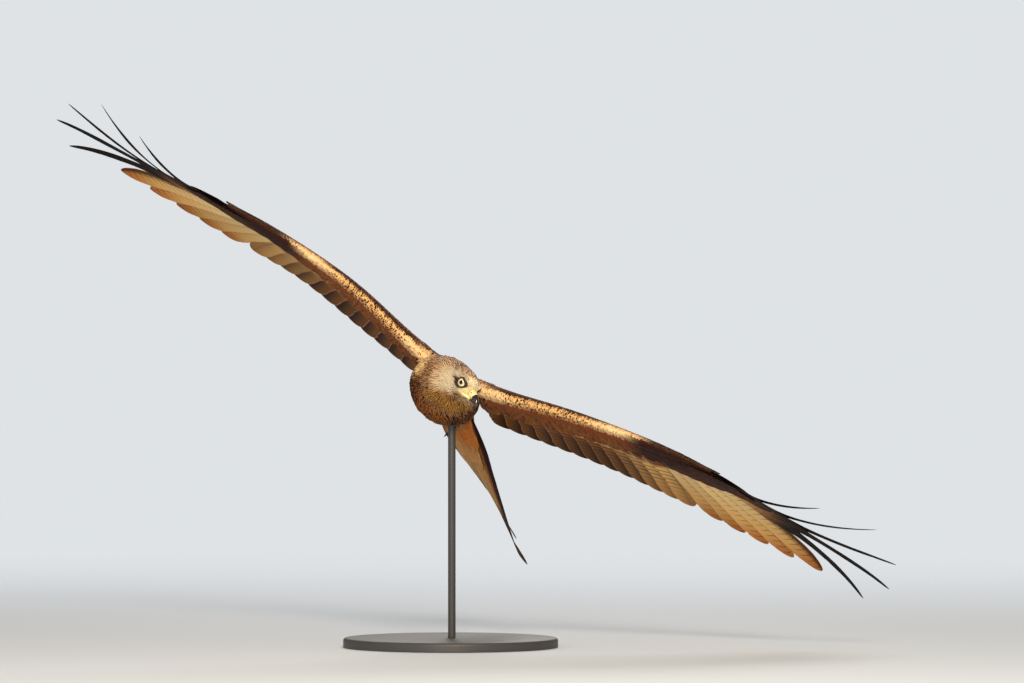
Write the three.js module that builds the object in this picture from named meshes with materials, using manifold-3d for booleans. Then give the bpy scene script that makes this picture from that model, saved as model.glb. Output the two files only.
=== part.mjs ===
// Red kite in banked gliding flight, life size, on a plain display stand.
// Millimetres, +Z up. The bird is modelled level in its own frame, with its bill towards -Y,
// its left wing towards +X and its back towards +Z, and is then banked as one group.
// The origin is the middle of the stand's underside.

import * as THREE from 'three';
import { mergeVertices } from 'three/addons/utils/BufferGeometryUtils.js';
import Module from 'manifold-3d';

const wasm = await Module();
wasm.setup();
const { Manifold } = wasm;

// Driving sizes of the flight pose and the stand
const bankAngle = 30.8;        // left wing down, degrees
const noseUp = 10.5;           // bill above the horizon, degrees
const heading = -10;           // turned to the bird's right, degrees
const flightHeight = 455;      // shoulders' level above the floor
const standBaseRadius = 185;
const standBaseThickness = 16;
const standRodRadius = 6.5;
const standRodPlace = [2, 14]; // under the bird's weight, x and y on the base
const clearance = 0.3;         // air left between neighbouring pieces

// Driving sizes of the trunk: distance back, half width, half height, height of the middle
const trunkSections = [
  [-80, 36, 31, -13],
  [-68, 50, 43, -14],
  [-46, 61, 52, -15],
  [-15, 66, 57, -17],
  [30, 62, 55, -17],
  [80, 50, 44, -14],
  [125, 36, 31, -9],
  [158, 27, 19, -8],
];
const trunkSides = 20;
const trunkSteps = 12;

// Driving sizes of the head, which looks down over the left wing
const headPlace = new THREE.Vector3(41, -108, -7);
const headForward = new THREE.Vector3(0.768, -0.564, -0.303).normalize();
const headUp = new THREE.Vector3(0.12, -0.343, 0.932);
const eyeRadius = 8.6;
const eyePlace = [15.4, -9.5, 3.5];

// Driving sizes of one wing, measured outwards from the bird's middle
const wristReach = 350;
const leadingLine = curveThrough([
  [40, -36], [110, -58], [220, -80], [350, -101], [450, -84], [600, -52], [860, -20],
]);
const leadingRise = curveThrough([
  [40, 8], [110, 21], [220, 45], [350, 60], [450, 70], [600, 73], [860, 75],
]);
const trailingLine = curveThrough([
  [40, 204], [130, 200], [250, 187], [370, 170], [500, 166], [600, 158], [709, 136], [860, 80],
]);
const trailingRise = curveThrough([
  [40, 4], [110, 15], [180, 26], [330, 46], [500, 54], [612, 58], [860, 57],
]);
const wingCamber = 8;
const wingTwist = { left: -10, right: 10 }; // the lower hand's rear edge is held down, the upper one's up
const armLift = { left: -5, right: 5 };     // the upper wing's arm is arched a little more
const fleshChord = curveThrough([[40, 128], [200, 100], [350, 68], [420, 44], [480, 22]]);
const fleshThickness = curveThrough([[40, 38], [120, 31], [350, 20], [420, 15], [480, 10]]);
const fleshReach = [44, 480];
const fleshSections = 13;

// Driving sizes of the wing feathers
const vaneThickness = 0.6;
const vaneTilt = 0.06;         // each vane leans by this slope, so that neighbours lie over one another
const secondaryCount = 13;
const secondaryRoots = [72, 339];
const secondaryTips = [92, 446];
const tertialCount = 3;
const primaryRoots = [363, 467];
const primaryTips = [
  [503, 166], [548, 166], [594, 160], [646, 150], [703, 136],
  [794, 95], [829, 61], [821, 38], [765, 4], [670, -54],
];
const primaryBend = [0, 0, 0, 0, 2, -14, 8, 40, 66, 42];
const handStretch = { left: 1, right: 1.03 };  // the upper hand is spread further out
const bendShare = { left: 1, right: 0.85 };    // and its fingers are less bent up
const firstFinger = 6;
const primaryDrop = 0.4;       // each primary lies this much lower than the one inside it
const upperCovertGap = 3.9;    // height of the covert tier over the flight feathers
const underCovertGap = 5.6;
const armCoverts = { upper: 0.5, under: 0.46, width: 42 };  // share of the flight feather that each covers
const handCoverts = { upper: 0.42, under: 0.36, width: 34 };
const longestCovert = 118;

// Driving sizes of the tail, turned to the left, dropped and twisted against the bank
const tailRoot = new THREE.Vector3(3, 158, -3);
const tailTurn = 26.3;
const tailDrop = 17.3;
const tailTwist = 34;
const tailHalfFan = 11.8;
const tailLength = { middle: 250, outer: 350 };
const tailForkDepth = 3;       // power of the fork's curve, from the middle pair to the outer one
const tailTipRise = 8;
const tailBow = 60;            // how far the air load bends the feathers
const tailUntwist = 0.62;      // the twist is only gained along the first 300 mm
const tailUntwistLength = 300;
const tailPairs = 6;

// A smooth curve through a few (x, value) points, level or straight beyond its ends
function curveThrough(points) {
  return (x) => {
    const last = points.length - 1;
    if (x <= points[0][0]) return points[0][1];
    if (x >= points[last][0]) return points[last][1];
    const i = points.findIndex((p) => p[0] > x) - 1;
    const slope = (k) => {
      const a = points[Math.max(k - 1, 0)];
      const b = points[Math.min(k + 1, last)];
      return (b[1] - a[1]) / (b[0] - a[0]);
    };
    const [x0, y0] = points[i];
    const [x1, y1] = points[i + 1];
    const h = x1 - x0;
    const t = (x - x0) / h;
    const a = y0 * (1 + 2 * t) * (1 - t) ** 2;
    const b = y1 * t * t * (3 - 2 * t);
    return a + b + slope(i) * h * t * (1 - t) ** 2 - slope(i + 1) * h * t * t * (1 - t);
  };
}

// Closed skin through rings of equally many points, with a flat fan at each end
function skinOver(rings) {
  const sides = rings[0].length;
  const points = rings.flat();
  const faces = [];
  for (let r = 0; r + 1 < rings.length; r++) {
    for (let k = 0; k < sides; k++) {
      const a = r * sides + k;
      const b = r * sides + (k + 1) % sides;
      faces.push(a, b, b + sides, a, b + sides, a + sides);
    }
  }
  for (let k = 1; k + 1 < sides; k++) {
    const end = (rings.length - 1) * sides;
    faces.push(0, k + 1, k, end, end + k, end + k + 1);
  }
  return outward(points, faces);
}

// Geometry from points and faces, turned inside out if its volume comes out negative
function outward(points, faces) {
  let volume = 0;
  for (let f = 0; f < faces.length; f += 3) {
    const [a, b, c] = [points[faces[f]], points[faces[f + 1]], points[faces[f + 2]]];
    volume += a.dot(b.clone().cross(c));
  }
  if (volume < 0) faces.reverse();
  const geometry = new THREE.BufferGeometry();
  const numbers = points.flatMap((p) => [p.x, p.y, p.z]);
  geometry.setAttribute('position', new THREE.Float32BufferAttribute(numbers, 3));
  geometry.setIndex(faces);
  return geometry;
}

function toSolid(geometry) {
  const bare = geometry.clone();
  bare.deleteAttribute('normal');
  bare.deleteAttribute('uv');
  const merged = mergeVertices(bare, 1e-4);
  return new Manifold(new wasm.Mesh({
    numProp: 3,
    vertProperties: new Float32Array(merged.attributes.position.array),
    triVerts: new Uint32Array(merged.index.array),
  }));
}

// The largest closed surface of a solid, without loose scraps or sealed hollows
function toGeometry(solid) {
  const pieces = solid.decompose();
  const largest = pieces.reduce((best, piece) => (piece.volume() > best.volume() ? piece : best));
  const mesh = largest.getMesh();
  const geometry = new THREE.BufferGeometry();
  geometry.setAttribute('position', new THREE.BufferAttribute(new Float32Array(mesh.vertProperties), 3));
  geometry.setIndex(new THREE.BufferAttribute(new Uint32Array(mesh.triVerts), 1));
  return geometry;
}

const joined = (geometries) => Manifold.union(geometries.map(toSolid));

// Ring of an ellipse round a point, in the plane of two directions
function ellipse(middle, across, along, sides) {
  const ring = [];
  for (let k = 0; k < sides; k++) {
    const angle = (k / sides) * 2 * Math.PI;
    const offset = across.clone().multiplyScalar(Math.cos(angle));
    ring.push(middle.clone().add(offset.addScaledVector(along, Math.sin(angle))));
  }
  return ring;
}

// Round tapering rod along a smooth path; radii are given at the path's own points
function taperedRod(path, radii, sides, steps, flatness = 1) {
  const curve = new THREE.CatmullRomCurve3(path);
  const radius = curveThrough(radii.map((r, i) => [i / (radii.length - 1), r]));
  const rings = [];
  const guide = new THREE.Vector3(0.13, 0.21, 0.97).normalize();
  for (let i = 0; i <= steps; i++) {
    const t = i / steps;
    const along = curve.getTangent(t);
    const across = guide.clone().cross(along).normalize();
    const up = along.clone().cross(across);
    const r = radius(t);
    rings.push(ellipse(curve.getPoint(t), across.multiplyScalar(r), up.multiplyScalar(r * flatness), sides));
  }
  return skinOver(rings);
}

// Trunk with its plumage, optionally grown by a margin
function trunkShape(margin = 0) {
  const width = curveThrough(trunkSections.map((s) => [s[0], s[1]]));
  const height = curveThrough(trunkSections.map((s) => [s[0], s[2]]));
  const middle = curveThrough(trunkSections.map((s) => [s[0], s[3]]));
  const first = trunkSections[0][0] - margin;
  const last = trunkSections[trunkSections.length - 1][0] + margin;
  const rings = [];
  for (let i = 0; i <= trunkSteps; i++) {
    const y = first + (last - first) * (i / trunkSteps);
    const across = new THREE.Vector3(width(y) + margin, 0, 0);
    const up = new THREE.Vector3(0, 0, height(y) + margin);
    rings.push(ellipse(new THREE.Vector3(0, y, middle(y)), across, up, trunkSides));
  }
  return skinOver(rings);
}

// Neck from inside the trunk to inside the head
function neckShape() {
  const path = [
    new THREE.Vector3(1, -62, -14),
    new THREE.Vector3(7, -80, -13),
    new THREE.Vector3(18, -93, -11),
    new THREE.Vector3(30, -102, -8),
  ];
  return taperedRod(path, [50, 43, 33, 24], 18, 5, 0.96);
}

const headMatrix = (() => {
  const back = headForward.clone().negate();
  const left = back.clone().cross(headUp).normalize();
  const up = left.clone().cross(back).normalize();
  return new THREE.Matrix4().makeBasis(left, back, up).setPosition(headPlace);
})();

const onHead = (geometry) => geometry.applyMatrix4(headMatrix);

// Skull with its plumage in the head's own frame, bill towards -Y:
// distance back, half width, half height, height of the middle
const headSections = [
  [-29, 9, 9.5, -5],
  [-25, 13, 13.5, -4],
  [-17, 19, 19.5, -1.5],
  [-6, 23.5, 24, 0],
  [8, 25, 25.5, 0],
  [20, 23, 23.5, 0],
  [29, 17, 17.5, -1],
  [34, 8, 8, -2],
];

function skullShape(margin = 0) {
  const rings = headSections.map(([y, width, height, middle]) => {
    const across = new THREE.Vector3(width + margin, 0, 0);
    return ellipse(new THREE.Vector3(0, y, middle), across, new THREE.Vector3(0, 0, height + margin), 18);
  });
  return onHead(skinOver(rings));
}

function eyeShape(side, margin = 0) {
  const ball = new THREE.SphereGeometry(eyeRadius + margin, 12, 8);
  return onHead(ball.translate(side * eyePlace[0], eyePlace[1], eyePlace[2]));
}

// Ring of the lids round one eye, and the brow over it
function lidShape(side) {
  const ring = new THREE.TorusGeometry(6.5, 1.3, 5, 12);
  ring.rotateY(Math.PI / 2).rotateZ(side * 0.28);
  return onHead(ring.translate(side * (eyePlace[0] + 5.6), eyePlace[1] - 0.8, eyePlace[2]));
}

function browShape(side) {
  const path = [
    new THREE.Vector3(side * 11.5, -24, 7.5),
    new THREE.Vector3(side * 19, -17, 11.3),
    new THREE.Vector3(side * 21, -5, 12),
  ];
  return onHead(taperedRod(path, [2, 3.4, 3], 6, 3));
}

// Bill: a hooked upper half with its cere, a shorter lower half, and the gape's edge below the eye
function upperBillShape(margin = 0) {
  const path = [
    new THREE.Vector3(0, -23, -3),
    new THREE.Vector3(0, -34, -3.4),
    new THREE.Vector3(0, -43.5, -5.6),
    new THREE.Vector3(0, -50, -11),
    new THREE.Vector3(0, -50.5, -18.5),
  ];
  return onHead(taperedRod(path, [7.4, 6.9, 5.4, 3.3, 0.5].map((r) => r + margin), 12, 8, 1.04));
}

function lowerBillShape(margin = 0) {
  const path = [
    new THREE.Vector3(0, -21, -12.6),
    new THREE.Vector3(0, -33, -12.8),
    new THREE.Vector3(0, -44, -13),
  ];
  return onHead(taperedRod(path, [6.4, 5, 2].map((r) => r + margin), 10, 4, 0.62));
}

function gapeShape(side, rise, margin = 0) {
  const path = [
    new THREE.Vector3(side * 4.6, -32, -10 + rise),
    new THREE.Vector3(side * 10.5, -23, -10.6 + rise),
    new THREE.Vector3(side * 18.2, -10, -11 + rise),
  ];
  return onHead(taperedRod(path, [1.3, 1.4, 0.9].map((r) => r + margin), 4, 3));
}

function nostrilShape(side) {
  const pit = new THREE.SphereGeometry(1, 8, 6).scale(1.6, 1.9, 1);
  return onHead(pit.rotateX(0.5).translate(side * 6.6, -31, -0.9));
}

// Height of a wing's middle surface over the bird's own level
function wingSurface(side) {
  return (x, y) => {
    const front = leadingLine(x);
    const t = Math.min(Math.max((y - front) / (trailingLine(x) - front), 0), 1.15);
    const rise = leadingRise(x) * (1 - t) + trailingRise(x) * t;
    const twisted = wingTwist[side] * (t - 0.3) * THREE.MathUtils.smoothstep(x, 200, 400);
    const arched = armLift[side] * Math.sin(Math.PI * Math.min(1, x / 480));
    return rise + twisted + arched + wingCamber * 4 * t * (1 - Math.min(t, 1));
  };
}

// Half thickness of a rounded wing section at a share of its chord
function wingHalfThickness(share, thickness) {
  const s = Math.max(share, 0);
  const shape = 1.4845 * Math.sqrt(s) - 0.63 * s - 1.758 * s ** 2 + 1.4215 * s ** 3 - 0.478 * s ** 4;
  return Math.max(shape * thickness, 0.6);
}

// Fleshy part of the wing between two reaches, with the small feathers that clothe it
function wingFlesh(surface, from, to, margin = 0) {
  const shares = [0, 0.04, 0.14, 0.32, 0.58, 0.82, 1];
  const count = Math.max(3, Math.round((fleshSections * (to - from)) / (fleshReach[1] - fleshReach[0])));
  const rings = [];
  for (let i = 0; i <= count; i++) {
    const x = from + ((to - from) * i) / count;
    const chord = fleshChord(x);
    const thickness = fleshThickness(x);
    const at = (share, sign) => {
      const y = leadingLine(x) + share * chord + (share === 0 ? -margin : share === 1 ? margin : 0);
      const half = share === 0 ? 0 : wingHalfThickness(share, thickness) + margin;
      return new THREE.Vector3(x, y, surface(x, y) + sign * half);
    };
    const upper = shares.map((share) => at(share, 1));
    const lower = shares.slice(1).reverse().map((share) => at(share, -1));
    rings.push([...upper, ...lower]);
  }
  return skinOver(rings);
}

// A feather: a thin tapering vane whose shaft runs from root to tip over a surface.
// plan gives the root and tip, the bow of the shaft and the widths of the vane on both sides.
function vane(surface, plan) {
  const { root, tip, bow = 0, outer, inner, lift = 0, tilt = vaneTilt, bend = 0, bendFrom = 0.4 } = plan;
  const stations = plan.stations ?? [0, 0.2, 0.6, 0.9, 1];
  const along = new THREE.Vector2(tip[0] - root[0], tip[1] - root[1]);
  const side = new THREE.Vector2(along.y, -along.x).normalize();
  const rings = stations.map((s) => {
    const arc = bow * 4 * s * (1 - s);
    const middle = new THREE.Vector2(root[0], root[1]).addScaledVector(along, s).addScaledVector(side, arc);
    const settled = s === 0 ? 0.3 : 1;
    const raised = bend * Math.max(0, (s - bendFrom) / (1 - bendFrom)) ** 1.8;
    const edge = (width, sign) => {
      const x = middle.x + side.x * width;
      const y = middle.y + side.y * width;
      const z = surface(x, y) + settled * lift + tilt * width + raised + (sign * vaneThickness) / 2;
      return new THREE.Vector3(x, y, z);
    };
    const out = outer(s);
    const into = -inner(s);
    return [edge(out, 1), edge(into, 1), edge(into, -1), edge(out, -1)];
  });
  return foldedStrip(rings);
}

// Thin strip of four-cornered rings, cut into triangles alike on both faces
function foldedStrip(rings) {
  const points = rings.flat();
  const faces = [];
  for (let r = 0; r + 1 < rings.length; r++) {
    const [a, b, c, d] = [0, 1, 2, 3].map((k) => r * 4 + k);
    const [e, f, g, h] = [a + 4, b + 4, c + 4, d + 4];
    faces.push(a, b, f, a, f, e);
    faces.push(b, c, g, b, g, f);
    faces.push(c, d, g, d, h, g);
    faces.push(d, a, e, d, e, h);
  }
  const end = (rings.length - 1) * 4;
  faces.push(0, 2, 1, 0, 3, 2, end, end + 1, end + 2, end, end + 2, end + 3);
  return outward(points, faces);
}

// Width of a round-ended vane along its length, as a share of its full width
const roundEnded = curveThrough([[0, 0.12], [0.2, 0.9], [0.35, 1], [0.85, 1], [0.9, 0.9], [1, 0.3]]);

// Width of an inner primary, which is slender where it leaves the crowded wrist
const wideningVane = curveThrough([[0, 0.1], [0.2, 0.55], [0.45, 1], [0.85, 1], [0.92, 0.8], [1, 0.25]]);

function secondaryPlans() {
  const plans = [];
  for (let i = 0; i < secondaryCount; i++) {
    const t = i / (secondaryCount - 1);
    const x = THREE.MathUtils.lerp(secondaryRoots[0], secondaryRoots[1], t);
    const tipX = THREE.MathUtils.lerp(secondaryTips[0], secondaryTips[1], t);
    plans.push({
      root: [x, leadingLine(x) + 0.5 * fleshChord(x)],
      tip: [tipX, trailingLine(tipX)],
      bow: 5,
      outer: (s) => 19 * roundEnded(s),
      inner: (s) => 27 * roundEnded(s),
    });
  }
  return plans;
}

// Innermost feathers, shorter towards the body
function tertialPlans() {
  const plans = [];
  for (let i = 0; i < tertialCount; i++) {
    const x = 68 - 2 * i;
    const tipX = 80 - 10 * i;
    plans.push({
      root: [x, leadingLine(x) + 0.5 * fleshChord(x)],
      tip: [tipX, trailingLine(tipX) - 12 - 22 * i],
      bow: 2,
      outer: (s) => 18 * roundEnded(s),
      inner: (s) => 20 * roundEnded(s),
      lift: 1.2 * (i + 1),
    });
  }
  return plans;
}

function primaryPlans(side) {
  return primaryTips.map(([tipX, tipY], i) => {
    const number = i + 1;
    const x = THREE.MathUtils.lerp(primaryRoots[0], primaryRoots[1], i / 9);
    const plan = {
      root: [x, leadingLine(x) + 0.5 * fleshChord(x)],
      tip: [wristReach + (tipX - wristReach) * handStretch[side], tipY],
      bow: 7,
      lift: -0.9 - primaryDrop * i,
      bend: primaryBend[i] * bendShare[side],
    };
    if (number < firstFinger) {
      plan.outer = (s) => 20 * wideningVane(s);
      plan.inner = (s) => 32 * wideningVane(s);
      return plan;
    }
    // A finger is broad up to its notch and narrow beyond it
    const notch = 0.56 - 0.035 * (number - firstFinger);
    const narrow = curveThrough([
      [0, 0.1], [0.2, 0.6], [notch - 0.08, 1], [notch + 0.08, 0.5], [0.8, 0.36], [0.93, 0.2], [1, 0.08],
    ]);
    plan.stations = [0, 0.18, notch - 0.08, notch + 0.08, 0.75, 0.93, 1];
    plan.outer = (s) => (number === 10 ? 11 : 17) * narrow(s);
    plan.inner = (s) => 31 * narrow(s);
    return plan;
  });
}

// Greater coverts over or under the flight feathers, one to each of them
function covertPlans(flight, side, share, width) {
  return flight.map((plan) => {
    const [x0, y0] = plan.root;
    const along = new THREE.Vector2(plan.tip[0] - x0, plan.tip[1] - y0);
    const reach = Math.min(share * along.length(), longestCovert);
    along.setLength(reach);
    return {
      root: [x0, y0],
      tip: [x0 + along.x, y0 + along.y],
      bow: 2,
      outer: (s) => width * 0.46 * roundEnded(s),
      inner: (s) => width * 0.54 * roundEnded(s),
      lift: (plan.lift ?? 0) + (side > 0 ? upperCovertGap : -underCovertGap),
      stations: [0, 0.35, 0.85, 1],
    };
  });
}

// The small stiff feathers of the thumb, lying along the leading edge
function alulaPlans() {
  return [0, 1, 2].map((i) => ({
    root: [366 + 4 * i, leadingLine(366) + 17 + 3 * i],
    tip: [458 - 16 * i, leadingLine(458 - 16 * i) + 3 + 5 * i],
    bow: 3,
    outer: (s) => 7 * roundEnded(s),
    inner: (s) => 11 * roundEnded(s),
    lift: 3.4 + 1.3 * i,
    tilt: 0,
    stations: [0, 0.4, 0.85, 1],
  }));
}

const mirrored = (geometry) => {
  const copy = geometry.clone().scale(-1, 1, 1);
  copy.setIndex([...copy.index.array].reverse());
  return copy;
};

// Both halves of a wing as solids, shaped as a left wing
function wingHalves(side) {
  const surface = wingSurface(side);
  const secondaries = secondaryPlans();
  const primaries = primaryPlans(side);
  const armVanes = [
    ...secondaries,
    ...tertialPlans(),
    ...covertPlans(secondaries, 1, armCoverts.upper, armCoverts.width),
    ...covertPlans(secondaries, -1, armCoverts.under, armCoverts.width),
  ];
  const handVanes = [
    ...primaries,
    ...covertPlans(primaries, 1, handCoverts.upper, handCoverts.width),
    ...covertPlans(primaries, -1, handCoverts.under, handCoverts.width),
    ...alulaPlans(),
  ];
  const trunk = toSolid(trunkShape(clearance));
  const arm = joined([
    wingFlesh(surface, fleshReach[0], wristReach),
    ...armVanes.map((plan) => vane(surface, plan)),
  ]);
  const hand = joined([
    wingFlesh(surface, wristReach + clearance, fleshReach[1]),
    ...handVanes.map((plan) => vane(surface, plan)),
  ]);
  const handMargin = toSolid(wingFlesh(surface, wristReach, fleshReach[1], clearance));
  const armMargin = toSolid(wingFlesh(surface, fleshReach[0], wristReach + clearance, clearance));
  return {
    inner: toGeometry(arm.subtract(trunk).subtract(handMargin)),
    outer: toGeometry(hand.subtract(armMargin)),
  };
}

// Tail: its own frame has x to the bird's left, y along the feathers and z up through them
const tailMatrix = (() => {
  const turn = THREE.MathUtils.degToRad(tailTurn);
  const drop = THREE.MathUtils.degToRad(tailDrop);
  const twist = THREE.MathUtils.degToRad(tailTwist);
  return new THREE.Matrix4()
    .makeRotationZ(-turn)
    .multiply(new THREE.Matrix4().makeRotationX(-drop))
    .multiply(new THREE.Matrix4().makeRotationY(twist))
    .setPosition(tailRoot);
})();

// The air load bows the tail down behind its root and up again at its tips
const tailShear = (y) => tailUntwist * Math.max(0, 1 - y / tailUntwistLength);

function tailSurface(x, y) {
  const t = y / tailLength.outer;
  return tailBow * (t * t - t) + tailTipRise * t * t + tailShear(y) * x;
}

function tailPlans() {
  const plans = [];
  for (let pair = 0; pair < tailPairs; pair++) {
    const t = pair / (tailPairs - 1);
    const length = THREE.MathUtils.lerp(tailLength.middle, tailLength.outer, t ** tailForkDepth);
    const angle = THREE.MathUtils.degToRad(tailHalfFan) * (0.12 + 0.88 * t);
    for (const side of [1, -1]) {
      const root = [side * (2 + 20 * t), 2];
      plans.push({
        root,
        tip: [root[0] + side * length * Math.sin(angle), length * Math.cos(angle)],
        bow: side * 4 * t,
        outer: (s) => (side > 0 ? 18 : 27) * roundEnded(s),
        inner: (s) => (side > 0 ? 27 : 18) * roundEnded(s),
        lift: 2.4 * (tailPairs - 1 - pair) - (side > 0 ? 0 : 1.2),
        tilt: 0,
        bend: side > 0 && pair === tailPairs - 2 ? 7 : 0,
        bendFrom: 0.75,
      });
    }
  }
  return plans;
}

// Rump and vent with the long coverts that taper over the feathers' roots
function tailFlesh() {
  const path = [
    new THREE.Vector3(3, -30, 4),
    new THREE.Vector3(2, 15, -6),
    new THREE.Vector3(1, 65, -15),
    new THREE.Vector3(0, 110, -19),
  ];
  const flesh = taperedRod(path, [30, 29, 21, 7], 16, 6, 0.72);
  const points = flesh.attributes.position;
  for (let i = 0; i < points.count; i++) {
    points.setZ(i, points.getZ(i) + tailShear(points.getY(i)) * points.getX(i));
  }
  return flesh;
}

function tailSolid() {
  const pieces = [tailFlesh(), ...tailPlans().map((plan) => vane(tailSurface, plan))];
  return joined(pieces.map((piece) => piece.applyMatrix4(tailMatrix)));
}

// One leg tucked back under the belly: feathered thigh, bare shank and four curled toes.
// The lower foot hangs a little out of the plumage.
const toeHang = { 1: 1, [-1]: 0.25 };

function legPath(side) {
  return [
    new THREE.Vector3(side * 26, 20, -44),
    new THREE.Vector3(side * 28, 48, -50),
    new THREE.Vector3(side * 31, 76, -43),
  ];
}

function toePaths(side) {
  const foot = new THREE.Vector3(side * 38, 111, -34);
  const hang = toeHang[side];
  const inward = new THREE.Vector3(-side * 0.55, 0.35, -0.76 * hang).normalize();
  const backward = new THREE.Vector3(-side * 0.35, 0.9, -0.3 * hang).normalize();
  const paths = [0, 0.5, 1].map((share) => {
    const aim = inward.clone().lerp(backward, share).normalize();
    const knuckle = foot.clone().addScaledVector(aim, 15);
    const tip = knuckle.clone().addScaledVector(aim, 11).add(new THREE.Vector3(0, -2, -3 * hang));
    return [foot.clone(), knuckle, tip];
  });
  const hind = new THREE.Vector3(-side * 0.4, -0.5, -0.85).normalize();
  const knuckle = foot.clone().addScaledVector(hind, 9);
  paths.push([foot.clone(), knuckle, foot.clone().addScaledVector(hind, 18)]);
  return paths;
}

function legShape(side) {
  const thigh = taperedRod(legPath(side), [16, 14, 8], 12, 5);
  const shank = taperedRod([
    new THREE.Vector3(side * 30, 70, -45),
    new THREE.Vector3(side * 35, 90, -40),
    new THREE.Vector3(side * 38, 112, -34),
  ], [4.6, 4.2, 5], 8, 3);
  return [thigh, shank, ...toePaths(side).map((path) => toeShape(path))];
}

function toeShape(path, margin = 0) {
  return taperedRod(path, [4, 3.4, 2.8].map((r) => r + margin), 6, 3);
}

function clawShape(side, toe) {
  const path = toePaths(side)[toe];
  const end = path[2];
  const along = end.clone().sub(path[1]).normalize();
  const bendDown = new THREE.Vector3(0, -0.55, -0.5);
  const claw = taperedRod([
    end.clone().addScaledVector(along, -1),
    end.clone().addScaledVector(along, 6).addScaledVector(bendDown, 2),
    end.clone().addScaledVector(along, 9).addScaledVector(bendDown, 9),
  ], [2.6, 1.9, 0.4], 6, 4);
  const toeMargin = toeShape([path[0], path[1], end.clone().addScaledVector(along, clearance)], clearance);
  return toSolid(claw).subtract(toSolid(toeMargin));
}

// Materials, as the bird's plumage and bare parts look from a step away
const finish = (color, roughness = 0.85, metalness = 0) =>
  new THREE.MeshStandardMaterial({ color, roughness, metalness });
const plumage = {
  head: finish(0xd9cfc0),
  neck: finish(0xb98a5c),
  trunk: finish(0x8a4b25),
  arm: finish(0xa8682f),
  hand: finish(0x5b4534),
  tail: finish(0xc06a2c),
  thigh: finish(0xa5562a),
};
const cere = finish(0xe0b62e, 0.45);
const horn = finish(0x2b2a2d, 0.35);
const eyeGloss = finish(0xe9dcbc, 0.08);
const standPaint = finish(0x3a3b3d, 0.6);

const bird = new THREE.Group();

function addPiece(name, geometry, material, owner = bird) {
  const mesh = new THREE.Mesh(geometry, material);
  mesh.name = name;
  owner.add(mesh);
  return mesh;
}

// Bill, head and eyes
const trunkMargin = toSolid(trunkShape(clearance));
const upperBill = joined([upperBillShape(), gapeShape(1, 1.6), gapeShape(-1, 1.6)])
  .subtract(joined([nostrilShape(1), nostrilShape(-1)]));
const upperBillMargin = joined([
  upperBillShape(clearance), gapeShape(1, 1.6, clearance), gapeShape(-1, 1.6, clearance),
]);
const lowerBill = joined([lowerBillShape(), gapeShape(1, -1.5), gapeShape(-1, -1.5)])
  .subtract(upperBillMargin);
const lowerBillMargin = joined([
  lowerBillShape(clearance), gapeShape(1, -1.5, clearance), gapeShape(-1, -1.5, clearance),
]);
const eyesMargin = joined([eyeShape(1, clearance), eyeShape(-1, clearance)]);
const headSolid = joined([skullShape(), lidShape(1), lidShape(-1), browShape(1), browShape(-1)])
  .subtract(eyesMargin)
  .subtract(upperBillMargin)
  .subtract(lowerBillMargin)
  .subtract(trunkMargin);
addPiece('head', toGeometry(headSolid), plumage.head);
addPiece('bill_upper', toGeometry(upperBill), horn);
addPiece('bill_lower', toGeometry(lowerBill), cere);
addPiece('eye_left', eyeShape(1), eyeGloss);
addPiece('eye_right', eyeShape(-1), eyeGloss);

// Trunk, neck and tail
const skullMargin = toSolid(skullShape(2 * clearance));
addPiece('torso', trunkShape(), plumage.trunk);
addPiece('neck', toGeometry(toSolid(neckShape()).subtract(skullMargin).subtract(trunkMargin)), plumage.neck);
addPiece('tail', toGeometry(tailSolid().subtract(trunkMargin)), plumage.tail);

// Wings
const leftWing = wingHalves('left');
const rightWing = wingHalves('right');
addPiece('wing_left_inner', leftWing.inner, plumage.arm);
addPiece('wing_left_outer', leftWing.outer, plumage.hand);
addPiece('wing_right_inner', mirrored(rightWing.inner), plumage.arm);
addPiece('wing_right_outer', mirrored(rightWing.outer), plumage.hand);

// Legs and claws
for (const [word, side] of [['left', 1], ['right', -1]]) {
  addPiece(`leg_${word}`, toGeometry(joined(legShape(side)).subtract(trunkMargin)), plumage.thigh);
  for (let toe = 0; toe < 4; toe++) {
    addPiece(`claw_${word}_${toe + 1}`, toGeometry(clawShape(side, toe).subtract(trunkMargin)), horn);
  }
}

bird.rotation.set(
  THREE.MathUtils.degToRad(-noseUp),
  THREE.MathUtils.degToRad(bankAngle),
  THREE.MathUtils.degToRad(heading),
  'YXZ',
);
bird.position.set(0, 0, flightHeight);
bird.updateMatrixWorld(true);

// Stand: a turned base with a rounded rim, and a rod up into the belly plumage
const kite = new THREE.Group();
kite.add(bird);
const rim = 5;
const baseProfile = [
  new THREE.Vector2(0, 0),
  new THREE.Vector2(standBaseRadius, 0),
  new THREE.Vector2(standBaseRadius, standBaseThickness - rim),
  new THREE.Vector2(standBaseRadius - rim * 0.3, standBaseThickness - rim * 0.3),
  new THREE.Vector2(standBaseRadius - rim, standBaseThickness),
  new THREE.Vector2(0, standBaseThickness),
];
const baseShape = new THREE.LatheGeometry(baseProfile, 36).rotateX(Math.PI / 2);
addPiece('stand_base', baseShape, standPaint, kite);
const rodTop = flightHeight - 30;
const rodFoot = standBaseThickness + clearance;
const rod = new THREE.CylinderGeometry(standRodRadius, standRodRadius, rodTop - rodFoot, 20);
rod.rotateX(Math.PI / 2).translate(standRodPlace[0], standRodPlace[1], (rodTop + rodFoot) / 2);
const bankedTrunk = toSolid(trunkShape(clearance).applyMatrix4(bird.matrixWorld));
addPiece('stand_rod', toGeometry(toSolid(rod).subtract(bankedTrunk)), standPaint, kite);

export default kite;
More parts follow.
